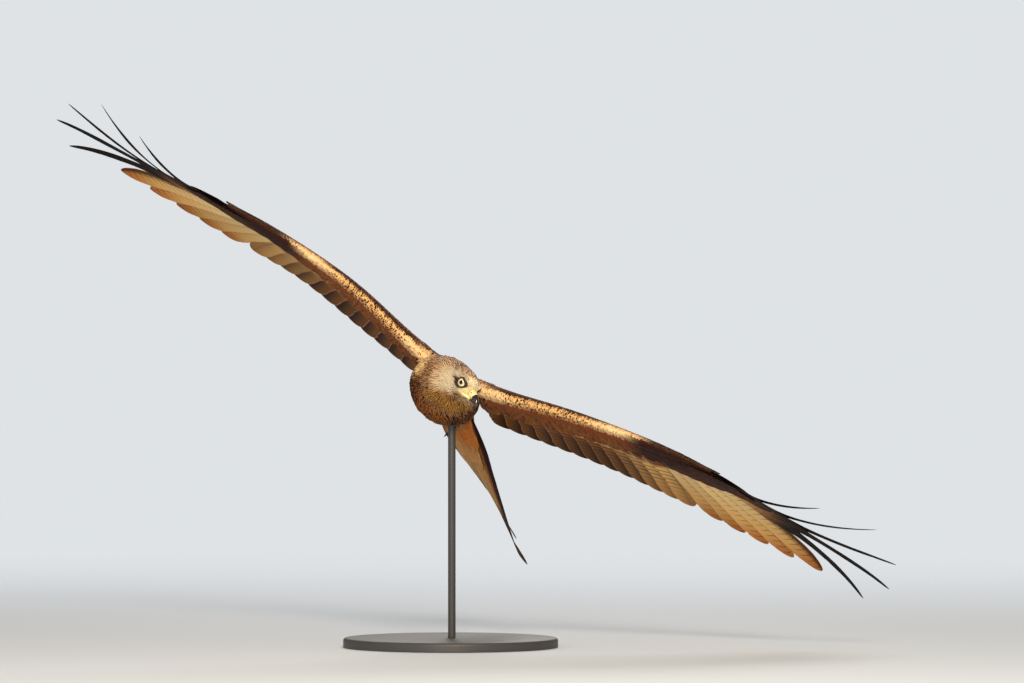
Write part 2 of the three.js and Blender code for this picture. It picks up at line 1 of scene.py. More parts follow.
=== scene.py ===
"""Red kite in banked gliding flight, life size, on a plain display stand.

The bird is shaped in its own level frame in millimetres: bill towards -Y, left wing towards +X,
back towards +Z. placed() turns that frame into the banked pose and into metres.
"""
import math

import bpy
import numpy as np
from mathutils import Matrix, Vector
from mathutils.bvhtree import BVHTree


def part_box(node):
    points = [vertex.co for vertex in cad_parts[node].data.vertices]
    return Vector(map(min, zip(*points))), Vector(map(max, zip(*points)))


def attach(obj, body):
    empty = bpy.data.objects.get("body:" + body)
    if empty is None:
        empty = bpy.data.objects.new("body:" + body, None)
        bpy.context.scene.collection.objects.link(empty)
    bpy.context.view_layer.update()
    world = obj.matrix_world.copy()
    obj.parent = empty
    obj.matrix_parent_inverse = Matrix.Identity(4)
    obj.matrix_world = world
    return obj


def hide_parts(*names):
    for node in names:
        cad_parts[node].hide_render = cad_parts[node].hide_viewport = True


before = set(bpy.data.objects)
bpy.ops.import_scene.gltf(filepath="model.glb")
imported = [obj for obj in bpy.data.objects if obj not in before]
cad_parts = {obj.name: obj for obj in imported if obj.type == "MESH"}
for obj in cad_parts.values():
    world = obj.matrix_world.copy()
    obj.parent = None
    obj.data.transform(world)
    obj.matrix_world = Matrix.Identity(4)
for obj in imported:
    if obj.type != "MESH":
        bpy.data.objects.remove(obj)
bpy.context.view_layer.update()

MM = 0.001
chance = np.random.default_rng(11)

# Pose of the bird over the stand
BANK, NOSE_UP, HEADING = 30.8, 10.5, -10.0
FLIGHT_HEIGHT = 455.0

# Trunk and neck: distance back, half width, half height, height of the middle
TRUNK = [(-80, 36, 31, -13), (-68, 50, 43, -14), (-46, 61, 52, -15), (-15, 66, 57, -17),
         (30, 62, 55, -17), (80, 50, 44, -14), (125, 36, 31, -9), (158, 27, 19, -8)]
NECK = [(1, -62, -14), (7, -80, -13), (18, -93, -11), (30, -102, -8)]
NECK_RADII = [50, 43, 33, 24]
COAT_DEPTH = {"trunk": 5.0, "neck": 4.5, "head": 2.2, "wing": 2.0, "tail": 3.0, "thigh": 3.0}

# Head, which looks down over the left wing, in a frame of its own with the bill towards -Y
HEAD_PLACE = (41, -108, -7)
HEAD_FORWARD = (0.768, -0.564, -0.303)
HEAD_UP = (0.12, -0.343, 0.932)
SKULL = [(-29, 9, 9.5, -5), (-25, 13, 13.5, -4), (-17, 19, 19.5, -1.5), (-6, 23.5, 24, 0),
         (8, 25, 25.5, 0), (20, 23, 23.5, 0), (29, 17, 17.5, -1), (34, 8, 8, -2)]
UPPER_BILL = [(0, -23, -3), (0, -34, -3.4), (0, -43.5, -5.6), (0, -50, -11), (0, -50.5, -18.5)]
UPPER_RADII = [7.4, 6.9, 5.4, 3.3, 0.5]
LOWER_BILL = [(0, -21, -12.2), (0, -33, -12.2), (0, -43, -12.4)]
LOWER_RADII = [5.8, 4.4, 1.4]
EYE = (15.4, -9.5, 3.5)
EYE_RADIUS, PUPIL_RADIUS, IRIS_RADIUS = 8.6, 3.2, 6.4
LID_RADIUS, LID_CLEARANCE = 8.2, 0.7
SOCKET_DEPTH = 4.2
# Farther to the side than this is the side of the face, and farther off than this is not the head
FACE_SIDE, HEAD_REACH = 8, 40

# Feet: how far each hangs below its tucked line, and its place to the side
TOE_HANG = {1: 1.0, -1: 0.25}
FOOT_OUT = {1: 38, -1: -31}

# Stand
STAND_RADIUS, STAND_THICKNESS, STAND_ROUNDING = 185.0, 16.0, 5.0
ROD_RADIUS, ROD_PLACE = 6.5, (2.0, 14.0)

# Floor, and a camera that sees the bird at the photo's scale and place
FLOOR_RADIUS = 4.0
CAMERA_DISTANCE, CAMERA_LIFT = 20.0, 1.5
PIXEL = 1.72 * MM
PHOTO_SIZE = (1024, 683)
BIRD_PIXEL = (450.6, 382.7)


def curve_through(points):
    """A smooth curve through a few (x, value) points, level beyond its ends, for arrays of x."""
    xs, ys = np.array(points, float).T
    order = np.arange(len(xs))
    ahead, behind = np.minimum(order + 1, order[-1]), np.maximum(order - 1, 0)
    slopes = (ys[ahead] - ys[behind]) / (xs[ahead] - xs[behind])

    def value(x):
        x = np.clip(np.asarray(x, float), xs[0], xs[-1])
        i = np.clip(np.searchsorted(xs, x, side="right") - 1, 0, len(xs) - 2)
        h = xs[i + 1] - xs[i]
        t = (x - xs[i]) / h
        ends = ys[i] * (1 + 2 * t) * (1 - t) ** 2 + ys[i + 1] * t * t * (3 - 2 * t)
        return ends + slopes[i] * h * t * (1 - t) ** 2 - slopes[i + 1] * h * t * t * (1 - t)

    return value


# One wing, measured outwards from the bird's middle
LEADING_LINE = curve_through(
    [(40, -36), (110, -58), (220, -80), (350, -101), (450, -84), (600, -52), (860, -20)])
LEADING_RISE = curve_through([(40, 8), (110, 21), (220, 45), (350, 60), (450, 70), (600, 73), (860, 75)])
TRAILING_LINE = curve_through(
    [(40, 204), (130, 200), (250, 187), (370, 170), (500, 166), (600, 158), (709, 136), (860, 80)])
TRAILING_RISE = curve_through([(40, 4), (110, 15), (180, 26), (330, 46), (500, 54), (612, 58), (860, 57)])
WING_CAMBER = 8.0
WING_TWIST = {"left": -10.0, "right": 10.0}
ARM_LIFT = {"left": -5.0, "right": 5.0}
FLESH_CHORD = curve_through([(40, 128), (200, 100), (350, 68), (420, 44), (480, 22)])
FLESH_THICKNESS = curve_through([(40, 38), (120, 31), (350, 20), (420, 15), (480, 10)])
FLESH_REACH = (44, 480)
# Each vane slopes across its width and droops at its edges, so that neighbours overlap
VANE_TILT = 0.06
VANE_DROOP = 0.0011
# Flight feathers, counted outwards, with their roots and tips as distances out from the body
SECONDARY_ROOTS, SECONDARY_TIPS, SECONDARY_COUNT = (72, 339), (92, 446), 13
TERTIAL_COUNT = 3
PRIMARY_ROOTS = (363, 467)
PRIMARY_TIPS = [(503, 166), (548, 166), (594, 160), (646, 150), (703, 136),
                (794, 95), (829, 61), (821, 38), (765, 4), (670, -54)]
PRIMARY_BEND = [0, 0, 0, 0, 2, -14, 8, 40, 66, 42]
PRIMARY_DROP = 0.4
WRIST_REACH = 350
# The right hand is a little longer and straighter, and its fingers are turned more to the light
HAND_STRETCH = {"left": 1.0, "right": 1.03}
BEND_SHARE = {"left": 1.0, "right": 0.85}
FIRST_FINGER = 6
FINGER_TILT = {"left": (-0.02, -0.02, -0.02, -0.02, -0.02), "right": (0.11, 0.11, 0.13, 0.27, 0.13)}
# Greater coverts over (1) and under (-1) the flight feathers: how far off, and how long for their feather
COVERT_GAP = {1: 3.9, -1: 5.6}
COVERT_LANDING = 2.1
ARM_COVERTS = {1: 0.5, -1: 0.46, "width": 42}
HAND_COVERTS = {1: 0.42, -1: 0.36, "width": 34}
LONGEST_COVERT = 118
# Rows of small coverts, from the leading edge (0) to the end of the flesh (1)
ROW_SHARES = (0.0, 0.05, 0.105, 0.165, 0.23, 0.30, 0.375, 0.455, 0.54, 0.63, 0.725, 0.83, 0.94)

# Tail: its own frame has y along the feathers
TAIL_ROOT = (3, 158, -3)
TAIL_TURN, TAIL_DROP, TAIL_TWIST = 26.3, 17.3, 34.0
TAIL_PAIRS = 6
TAIL_HALF_FAN = 11.8
TAIL_LENGTH = {"middle": 250, "outer": 350}
TAIL_FORK_DEPTH = 3
TAIL_TIP_RISE, TAIL_BOW = 8.0, 60.0
TAIL_UNTWIST, TAIL_UNTWIST_LENGTH = 0.62, 300.0
TAIL_STEP = 0.5

# Vanes: stations along and across a flight feather and round its shaft, and a small feather's thickness
# and the lift of its root
ROWS, COLUMNS, SHAFT_SIDES = 46, 9, 6
SMALL_THICKNESS, ROOT_LIFT = 0.12, 0.3
# How far a vane bridges a hollow, how the lie of the plumage swirls, and how far a feather may stand off
STIFF_SLACK = 2.5
CURL, CURL_WAVE = 0.17, (0.23, 0.11, 0.17)
STRAY_LIMIT = 8.5
# Least and most width of a dark mark as a share of its kind's, and the spread of where it starts
BODY_MARKS, WING_MARKS = (0.55, 1.3, 0.06), (0.15, 1.35, 0.12)
# Dark bars of a flight feather stand 13 to 17 mm apart. Barbs really stand 0.4 mm apart, too fine to
# show, and are drawn 1.3 mm apart
BAR_SPACING = 15.0
BARB_SPACING = 1.3
# A small feather's share of the bake map
PATCH = 0.003


def smoothstep(x, low, high):
    """A soft step from 0 at low to 1 at high."""
    t = np.clip((np.asarray(x, float) - low) / (high - low), 0, 1)
    return t * t * (3 - 2 * t)


def unit(vectors):
    return vectors / np.maximum(np.linalg.norm(vectors, axis=-1, keepdims=True), 1e-9)


def moved(matrix, points):
    """Points under a 4x4 matrix."""
    matrix = np.array(matrix)
    return points @ matrix[:3, :3].T + matrix[:3, 3]


BIRD = np.array(
    Matrix.Translation((0, 0, FLIGHT_HEIGHT * MM))
    @ Matrix.Rotation(math.radians(BANK), 4, "Y")
    @ Matrix.Rotation(math.radians(-NOSE_UP), 4, "X")
    @ Matrix.Rotation(math.radians(HEADING), 4, "Z")
    @ Matrix.Scale(MM, 4)
)
TAIL = np.array(
    Matrix.Translation(TAIL_ROOT)
    @ Matrix.Rotation(math.radians(-TAIL_TURN), 4, "Z")
    @ Matrix.Rotation(math.radians(-TAIL_DROP), 4, "X")
    @ Matrix.Rotation(math.radians(TAIL_TWIST), 4, "Y")
)


def head_matrix():
    back = -unit(np.array(HEAD_FORWARD))
    left = unit(np.cross(back, HEAD_UP))
    matrix = np.eye(4)
    matrix[:3, :3] = np.column_stack([left, back, np.cross(left, back)])
    matrix[:3, 3] = HEAD_PLACE
    return matrix


HEAD = head_matrix()
HEAD_INVERSE = np.linalg.inv(HEAD)
TAIL_INVERSE = np.linalg.inv(TAIL)


def placed(points):
    """Points of the level bird in millimetres, in the banked pose in metres."""
    return moved(BIRD, points)


def set_on_head(points):
    """Points of the head's own frame, in the level bird's."""
    return moved(HEAD, points)


def in_head(points):
    """Points of the level bird, in the head's own frame."""
    return moved(HEAD_INVERSE, points)


# Colours

def linear(code):
    """An sRGB hex colour as linear red, green and blue; linear numbers stay as they are."""
    if not isinstance(code, str):
        return code
    parts = [int(code[i:i + 2], 16) / 255 for i in (0, 2, 4)]
    return np.array([c / 12.92 if c <= 0.04045 else ((c + 0.055) / 1.055) ** 2.4 for c in parts])


def tint(code):
    return (*linear(code), 1.0)


def blended(first, second, share):
    """Mixes two colours, or arrays of them, by a share per point."""
    share = np.asarray(share)[..., None]
    return linear(first) * (1 - share) + linear(second) * share


# Kinds of small feather: ground, mark and edge colour, half width of the dark mark as a share of the
# vane's, width of the edge in mm, and where along the feather the mark starts
KINDS = {
    "forehead": ("eedcba", "a88a6a", "f2e4c8", 0.22, 0.35, 0.0),
    "crown": ("deb694", "3c1c16", "e8ceb4", 0.56, 0.4, 0.0),
    "face": ("c0b298", "9a886c", "cdc0a8", 0.18, 0.3, 0.0),
    "lore": ("d6c48c", "b8a468", "e2d4a4", 0.12, 0.3, 0.0),
    # Dark feathering round the eye, laid on more widely as painted shade of the brow
    "eye_dark_and_brow_shade": ("33231a", "1a110d", "4a3629", 0.4, 0.2, 0.0),
    "cheek": ("ceb896", "6a4e36", "d6c2a0", 0.28, 0.4, 0.0),
    "nape": ("b07c54", "2c130c", "cc9f74", 0.56, 0.6, 0.0),
    "throat": ("aa7a3c", "4a2a12", "be8f50", 0.44, 0.5, 0.0),
    "shoulder": ("f0c688", "6a3c1c", "f6deb0", 0.12, 1.2, 0.4),
    "breast": ("94521e", "2a1207", "b0722f", 0.44, 0.9, 0.0),
    "flank": ("5e3219", "160b07", "96602f", 0.6, 0.8, 0.0),
    "belly": ("a3562a", "5c2d15", "ba7240", 0.16, 1.6, 0.0),
    "mantle": ("4a3022", "281912", "8f5d37", 0.42, 1.7, 0.0),
    "rump": ("a85a2c", "6a3218", "c07c4a", 0.12, 2, 0.0),
    "vent": ("b86c30", "a35c28", "c4803f", 0.05, 1.5, 0.0),
    "vent_end": ("bd8c54", "a87a48", "caa06a", 0.04, 1.5, 0.0),
    "under_spotted": ("e2be8c", "4a240e", "e6c698", 0.26, 0.3, 0.6),
    "under_mottled": ("d6a870", "34190c", "dcb27c", 0.62, 0.3, 0.35),
    "under_rufous": ("944617", "62290e", "aa6028", 0.16, 1.0, 0.4),
    "under_median": ("8e5222", "673816", "a8743a", 0.34, 1.0, 0.0),
    "under_hand": ("3a1e16", "20110e", "4a281c", 0.15, 0.5, 0.2),
    "upper_dark_edge": ("3c261a", "1c110c", "6b4028", 0.45, 0.6, 0.0),
    "upper_edge": ("a85f30", "301910", "c98c56", 0.42, 1, 0.35),
    "upper_lesser": ("6b4028", "2b1a12", "9a633c", 0.45, 1.4, 0.0),
    "upper_median": ("94704a", "3a271b", "b08c62", 0.42, 1.4, 0.0),
    "upper_hand": ("33241c", "1c1410", "59412f", 0.4, 1, 0.0),
}
MARKINGS = {
    name: np.concatenate([linear(g), [streak], linear(m), [fringe], linear(e), [start]])
    for name, (g, m, e, streak, fringe, start) in KINDS.items()
}


def mixed_kinds(weights):
    """Markings per point from (kind, weights), laid over one another from a whole first one."""
    made = 0
    for name, weight in weights:
        made = blended(made, MARKINGS[name], np.clip(weight, 0.0, 1.0))
    return made


def eye_ring_and_brow_shade(side, back, up):
    """Share of the dark ring round the eye, partly dark feathering and partly painted shade, of the painted
    shade of the brow in the hollow before it, and of the dark patch behind it.
    """
    off = np.hypot(back - EYE[1], up - EYE[2])
    over = smoothstep(up - EYE[2], 1, 7) * smoothstep(back - EYE[1], -11, -4)
    ringed = (1 - smoothstep(off, 10.4, 12.4)) * (1 - 0.85 * over)
    # Painted shade of the brow, in the hollow before the eye
    before = np.exp(-(((back + 20) / 3.2) ** 2 + ((up - 2.6) / 2.2) ** 2))
    behind = np.exp(-(((back - 4) / 3.4) ** 2 + ((up - 1.5) / 1.3) ** 2))
    return np.clip(0.95 * ringed + before + 0.6 * behind, 0, 1) * (np.abs(side) > FACE_SIDE)


def body_markings(points, normals):
    """Markings of the head, neck, trunk and thighs at places on the skin."""
    on_head = in_head(points)
    side, back, up = on_head[:, 0], on_head[:, 1], on_head[:, 2]
    from_head = np.linalg.norm(on_head, axis=1)
    x, y, z = points.T
    facing_up = normals[:, 2]
    below_gape = -up - 11 - 0.5 * np.maximum(back + 16, 0)
    hood = 1 - smoothstep(from_head, 36, 56)
    crown_line = 14.5 - 0.25 * np.clip(back - 5, 0, 50)
    cheek = hood * (1 - smoothstep(below_gape, -3, 5))
    face = (1 - smoothstep(np.hypot(back + 4, up - 1), 18, 36)) * cheek
    crown = (1 - smoothstep(from_head, 66, 84)) * smoothstep(up - crown_line, -1.5, 2.0)
    crown = crown * smoothstep(back, -27, -14)
    shoulder = np.exp(-((np.abs(x) - 43) / 13) ** 2) * smoothstep(-y, 30, 48) * smoothstep(z, -30, -10)
    return mixed_kinds([
        ("belly", np.ones(len(points))),
        ("breast", 1 - smoothstep(y, -10, 45)),
        # Darker where the skin faces sideways, towards the body's edges
        ("flank", smoothstep(np.abs(normals[:, 0]), 0.28, 0.62) * (1 - smoothstep(y, -20, 60)) * 0.9),
        ("vent", smoothstep(y, 95, 135)),
        ("mantle", smoothstep(facing_up, 0.05, 0.4)),
        ("rump", smoothstep(facing_up, 0.0, 0.3) * smoothstep(y, 85, 125)),
        ("nape", 1 - smoothstep(from_head, 60, 88)),
        ("throat", (1 - smoothstep(from_head, 52, 78)) * smoothstep(below_gape, -2, 8)),
        ("shoulder", shoulder),
        ("cheek", cheek),
        ("face", face),
        ("forehead", cheek * smoothstep(-back, 10, 20) * smoothstep(up, 2, 9)),
        ("crown", crown),
        ("lore", cheek * smoothstep(-back, 11, 18) * (1 - smoothstep(up, 1, 8))),
        ("eye_dark_and_brow_shade", cheek * eye_ring_and_brow_shade(side, back, up)),
    ])


# Mesh making

def grid_quads(rows, columns):
    """Quads of the upper face, the lower face and the rim of a thin closed vane."""
    top, low = np.arange(2 * rows * columns).reshape(2, rows, columns)

    def between(a, b, c, d):
        return np.stack([a.ravel(), b.ravel(), c.ravel(), d.ravel()], 1)

    return np.concatenate([
        between(top[:-1, :-1], top[:-1, 1:], top[1:, 1:], top[1:, :-1]),
        between(low[:-1, :-1], low[1:, :-1], low[1:, 1:], low[:-1, 1:]),
        between(top[:-1, 0], top[1:, 0], low[1:, 0], low[:-1, 0]),
        between(top[:-1, -1], low[:-1, -1], low[1:, -1], top[1:, -1]),
        between(top[0, :-1], low[0, :-1], low[0, 1:], top[0, 1:]),
        between(top[-1, :-1], top[-1, 1:], low[-1, 1:], low[-1, :-1]),
    ])


def tube_quads(rings, sides):
    """Quads of a tube's wall; its ends run down to a hair's width."""
    at = np.arange(rings * sides).reshape(rings, sides)
    nxt = np.roll(at, -1, axis=1)
    return np.stack([at[:-1].ravel(), nxt[:-1].ravel(), nxt[1:].ravel(), at[1:].ravel()], 1)


def new_object(name, mesh, materials):
    for material in materials:
        mesh.materials.append(material)
    made = bpy.data.objects.new(name, mesh)
    bpy.context.scene.collection.objects.link(made)
    return made


def new_piece(name, mesh, materials, replaced=()):
    """An object of the visual model and the nodes of the frame that it stands for."""
    made = new_object(name, mesh, materials)
    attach(made, "root")
    if replaced:
        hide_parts(*replaced)
    return made


def mesh_of(name, points, faces, smooth=True):
    """A mesh from arrays; faces all have the same number of corners."""
    mesh = bpy.data.meshes.new(name)
    corners = faces.shape[1]
    mesh.vertices.add(len(points))
    mesh.vertices.foreach_set("co", np.ascontiguousarray(points, np.float32).ravel())
    mesh.loops.add(faces.size)
    mesh.loops.foreach_set("vertex_index", np.ascontiguousarray(faces, np.int32).ravel())
    mesh.polygons.add(len(faces))
    mesh.polygons.foreach_set("loop_start", np.arange(0, faces.size, corners, dtype=np.int32))
    mesh.update(calc_edges=True)
    mesh.polygons.foreach_set("use_smooth", np.full(len(faces), smooth))
    return mesh


def give(mesh, name, values, kind="vector"):
    """Stores a vector, or a linear colour with a fourth number, at each vertex."""
    layer = mesh.attributes.new(name, {"vector": "FLOAT_VECTOR", "color": "FLOAT_COLOR"}[kind], "POINT")
    layer.data.foreach_set(kind, np.ascontiguousarray(values, np.float32).ravel())


def give_map(mesh, name, values):
    """Stores a UV map from one pair of numbers per vertex."""
    index = np.empty(len(mesh.loops), np.int32)
    mesh.loops.foreach_get("vertex_index", index)
    layer = mesh.uv_layers.new(name=name)
    layer.data.foreach_set("uv", np.ascontiguousarray(values[index], np.float32).ravel())


def piece(name, points, faces, material, slot, *replaced):
    """Makes one piece from the level bird's millimetres."""
    return new_piece(name, mesh_of(name, placed(points), faces), [material], replaced)


def merged(parts):
    """Points and faces of several parts as one."""
    starts = np.cumsum([0] + [len(p) for p, _ in parts[:-1]])
    faces = np.concatenate([f + start for (_, f), start in zip(parts, starts)])
    return np.concatenate([p for p, _ in parts]), faces


def outward(points, triangles):
    """Turns all triangles of a closed surface outwards."""
    a, b, c = (points[triangles[:, k]] for k in range(3))
    return triangles if np.einsum("ij,ij->", a, np.cross(b, c)) > 0 else triangles[:, ::-1]


class Coat:
    """Gathers the feathers of one piece.

    share is the place across (-1 to 1) and along (0 to 1) a feather and a number of its own,
    span the same places and the distance from the rim in millimetres, markings 12 numbers as in MARKINGS.
    """

    def __init__(self):
        self.parts = []

    def add(self, points, quads, share, span, markings, patch, shaft=False):
        self.parts.append((points, quads, share, span, markings, patch, np.full(len(quads), int(shaft))))

    def finish(self, name, slot, vane, replaced=(), mirror=False):
        """Makes the mesh object of all gathered feathers."""
        points, quads = merged([p[:2] for p in self.parts])
        share, span, markings, patch, shafts = (
            np.concatenate([p[k] for p in self.parts]) for k in range(2, 7))
        if mirror:
            points = points * (-1, 1, 1)
            quads = quads[:, ::-1]
        mesh = mesh_of(name, placed(points), quads)
        mesh.polygons.foreach_set("material_index", shafts.astype(np.int32))
        for k, layer in enumerate(("ground", "mark", "edge")):
            give(mesh, layer, markings[:, 4 * k:4 * k + 4], "color")
        give(mesh, "share", share)
        give(mesh, "span", span)
        give_map(mesh, "OFBake", patch)
        new_piece(name, mesh, [vane, shaft_horn], replaced)


# Materials

def add(tree, kind, inputs=None, out=0, **settings):
    """Adds a node with its settings and gives one output; an input is a number, a colour or an output."""
    made = tree.nodes.new("ShaderNode" + kind)
    for key, value in settings.items():
        setattr(made, key, value)
    for socket, value in (inputs or {}).items():
        if isinstance(value, bpy.types.NodeSocket):
            tree.links.new(value, made.inputs[socket])
        else:
            made.inputs[socket].default_value = value
    return made.outputs[out]


def new_material(name, **shader):
    """A material with one Principled shader; the numbers go straight on its own sockets."""
    material = bpy.data.materials.new(name)
    material.use_nodes = True
    tree = material.node_tree
    principled = tree.nodes["Principled BSDF"]
    for socket, value in shader.items():
        principled.inputs[socket.replace("_", " ")].default_value = value
    return material, tree


def wear(tree, colour, relief=None):
    """Links a colour and a relief to the Principled shader."""
    shader = tree.nodes["Principled BSDF"].inputs
    tree.links.new(colour, shader["Base Color"])
    if relief:
        tree.links.new(relief, shader["Normal"])


def feather_vane(name, barred, **shader):
    """A feather's vane: colours, dark marks, edge and barbs, from the markings that its vertices carry."""
    material, tree = new_material(name, **shader)
    ground, mark, edge, share, span = (
        add(tree, "Attribute", attribute_name=layer).node.outputs
        for layer in ("ground", "mark", "edge", "share", "span"))
    side, along, own = add(tree, "SeparateXYZ", {0: share["Vector"]}).node.outputs
    lateral, down, from_rim = add(tree, "SeparateXYZ", {0: span["Vector"]}).node.outputs
    across = add(tree, "Math", {0: side}, operation="ABSOLUTE")
    ragged = add(tree, "TexNoise", {"Vector": span["Vector"], "W": own, "Scale": 0.9, "Detail": 2.0},
                 noise_dimensions="4D")
    shake = add(tree, "Math", {0: ragged, 1: -0.5}, operation="ADD")
    if barred:
        # The bars bend forward towards the edge
        bent = add(tree, "Math", {0: across, 1: 5.0, 2: down}, operation="MULTIPLY_ADD")
        turned = add(tree, "Math", {0: bent, 1: 2 * math.pi / BAR_SPACING}, operation="MULTIPLY")
        wavy = add(tree, "Math", {0: shake, 1: 1.8, 2: turned}, operation="MULTIPLY_ADD")
        wave = add(tree, "Math", {0: wavy}, operation="SINE")
        # The edge colour's fourth number makes the bars thin and fades them towards the rim
        low = add(tree, "Math", {0: edge["Alpha"], 1: 0.55, 2: 0.25}, operation="MULTIPLY_ADD")
        high = add(tree, "Math", {0: low, 1: 0.25}, operation="ADD")
        marked = add(tree, "MapRange", {0: wave, 1: low, 2: high}, interpolation_type="SMOOTHSTEP")
        rimward = add(tree, "Math", {0: across, 1: edge["Alpha"]}, operation="MULTIPLY")
        kept = add(tree, "MapRange", {0: rimward, 1: 0.75, 2: 0.35, 3: 0.0, 4: 1.0})
        broken = add(tree, "Math", {0: marked, 1: kept}, operation="MULTIPLY")
        strength = add(tree, "Math", {0: broken, 1: ground["Alpha"]}, operation="MULTIPLY")
    else:
        # A dark streak along the shaft, as wide as the ground colour's fourth number says
        shaken = add(tree, "Math", {0: shake, 1: 0.5, 2: across}, operation="MULTIPLY_ADD")
        wide = add(tree, "Math", {0: ground["Alpha"], 1: 1.25}, operation="MULTIPLY")
        tight = add(tree, "Math", {0: ground["Alpha"], 1: 0.65}, operation="MULTIPLY")
        streak = add(tree, "MapRange", {0: shaken, 1: wide, 2: tight}, interpolation_type="SMOOTHSTEP")
        later = add(tree, "Math", {0: edge["Alpha"], 1: 0.18}, operation="ADD")
        begun = add(tree, "MapRange", {0: along, 1: edge["Alpha"], 2: later},
                    interpolation_type="SMOOTHSTEP")
        strength = add(tree, "Math", {0: streak, 1: begun}, operation="MULTIPLY")
    marked_ground = add(tree, "Mix", {0: strength, 6: ground["Color"], 7: mark["Color"]}, 2,
                        data_type="RGBA")
    # The edge is as wide, in mm, as the mark colour's fourth number
    rim = add(tree, "Math", {0: shake, 1: mark["Alpha"], 2: from_rim}, operation="MULTIPLY_ADD")
    within = add(tree, "Math", {0: mark["Alpha"], 1: 1.3}, operation="MULTIPLY")
    half_in = add(tree, "Math", {0: mark["Alpha"], 1: 0.5}, operation="MULTIPLY")
    fringe = add(tree, "MapRange", {0: rim, 1: within, 2: half_in}, interpolation_type="SMOOTHSTEP")
    fringed = add(tree, "Mix", {0: fringe, 6: marked_ground, 7: edge["Color"]}, 2, data_type="RGBA")
    # Barbs run out and forward from the shaft
    leaning = add(tree, "Math", {0: lateral}, operation="ABSOLUTE")
    barb_place = add(tree, "Math", {0: leaning, 1: -1.1, 2: down}, operation="MULTIPLY_ADD")
    barb_turn = add(tree, "Math", {0: barb_place, 1: 2 * math.pi / BARB_SPACING}, operation="MULTIPLY")
    barbs = add(tree, "Math", {0: barb_turn}, operation="SINE")
    tone = add(tree, "MapRange", {0: own, 1: 0.0, 2: 1.0, 3: 0.84, 4: 1.12})
    cloudy = add(tree, "Math", {0: shake, 1: 0.35, 2: tone}, operation="MULTIPLY_ADD")
    value = add(tree, "Math", {0: barbs, 1: 0.03, 2: cloudy}, operation="MULTIPLY_ADD")
    shaded = add(tree, "VectorMath", {0: fringed, "Scale": value}, operation="SCALE")
    wear(tree, shaded, add(tree, "Bump", {"Height": barbs, "Strength": 0.2, "Distance": 0.12 * MM}))
    return material


def make_shaft_horn():
    """Solid keratin of the shafts: smooth and a little glossy."""
    material, tree = new_material("feather shaft, smooth keratin", Roughness=0.5, Specular_IOR_Level=0.15)
    ground = add(tree, "Attribute", attribute_name="ground")
    span = add(tree, "Attribute", out="Vector", attribute_name="span")
    grain = add(tree, "TexNoise", {"Vector": span, "Scale": 0.6})
    value = add(tree, "MapRange", {0: grain, 1: 0.3, 2: 0.7, 3: 0.85, 4: 1.15})
    wear(tree, add(tree, "VectorMath", {0: ground, "Scale": value}, operation="SCALE"))
    return material


def make_down_skin():
    """Skin under the plumage with its short down: the coat's own colours, darker and matt."""
    material, tree = new_material("skin with down, short and matt", Roughness=0.9, Sheen_Weight=0.2)
    ground = add(tree, "Attribute", attribute_name="ground")
    place = add(tree, "TexCoord", out="Object")
    down = add(tree, "TexNoise", {"Vector": place, "Scale": 1 / (2.2 * MM), "Detail": 3.0})
    value = add(tree, "MapRange", {0: down, 1: 0.3, 2: 0.7, 3: 0.45, 4: 0.85})
    shade = add(tree, "VectorMath", {0: ground, "Scale": value}, operation="SCALE")
    wear(tree, shade, add(tree, "Bump", {"Height": down, "Strength": 0.6, "Distance": 0.6 * MM}))
    return material


# Keratin barbs of body feathers, loosely hooked: matt and soft, with a faint sheen at the edge
contour_vane = feather_vane("body feather, loose keratin barbs", barred=False, Roughness=0.8,
                            Specular_IOR_Level=0.06, Sheen_Weight=0.01, Sheen_Roughness=0.5)
# Keratin barbs of flight feathers, tightly hooked: a smooth satin vane with dark bars
barred_vane = feather_vane("flight feather, tightly hooked barbs", barred=True, Roughness=0.62,
                           Specular_IOR_Level=0.05)
shaft_horn = make_shaft_horn()
down_skin = make_down_skin()


# Skin: one closed surface under all small feathers

def ring(middle, across, up, sides):
    angle = np.linspace(0, 2 * math.pi, sides, endpoint=False)[:, None]
    return np.asarray(middle) + np.cos(angle) * np.asarray(across) + np.sin(angle) * np.asarray(up)


def lofted(rings):
    """Points and triangles of a closed skin through rings, with a flat fan at each end."""
    count, sides = len(rings), len(rings[0])
    quads = tube_quads(count, sides)
    fan = np.arange(1, sides - 1)
    end = (count - 1) * sides
    triangles = np.concatenate([
        quads[:, [0, 1, 2]], quads[:, [0, 2, 3]],
        np.stack([0 * fan, fan + 1, fan], 1), end + np.stack([0 * fan, fan, fan + 1], 1)])
    return np.concatenate(rings), triangles


def spline(path, count):
    """Points and directions of a smooth path through a few points."""
    path = np.asarray(path, float)
    knots = np.arange(len(path))
    where = np.linspace(0, len(path) - 1, count)
    points = np.stack([curve_through(np.stack([knots, path[:, k]], 1))(where) for k in range(3)], 1)
    return points, unit(np.gradient(points, axis=0))


def rod_rings(path, radii, sides, count, flatness=1.0):
    """Rings round a smooth path, with radii given at its own points."""
    points, along = spline(path, count)
    radius = curve_through(list(enumerate(radii)))(np.linspace(0, len(radii) - 1, count))
    guide = unit(np.array([0.13, 0.21, 0.97]))
    rings = []
    for point, direction, r in zip(points, along, radius):
        across = unit(np.cross(guide, direction))
        rings.append(ring(point, across * r, np.cross(direction, across) * r * flatness, sides))
    return rings


def brow_rings(side):
    """The bony brow over each eye, under its feathers."""
    path = np.array([(11, -24, 7.5), (16.8, -18, 10.8), (19.6, -8, 12.1), (18.4, 3, 11.4)]) * (side, 1, 1)
    return [set_on_head(r) for r in rod_rings(path, [1.5, 2.3, 2.2, 1.3], 16, 16)]


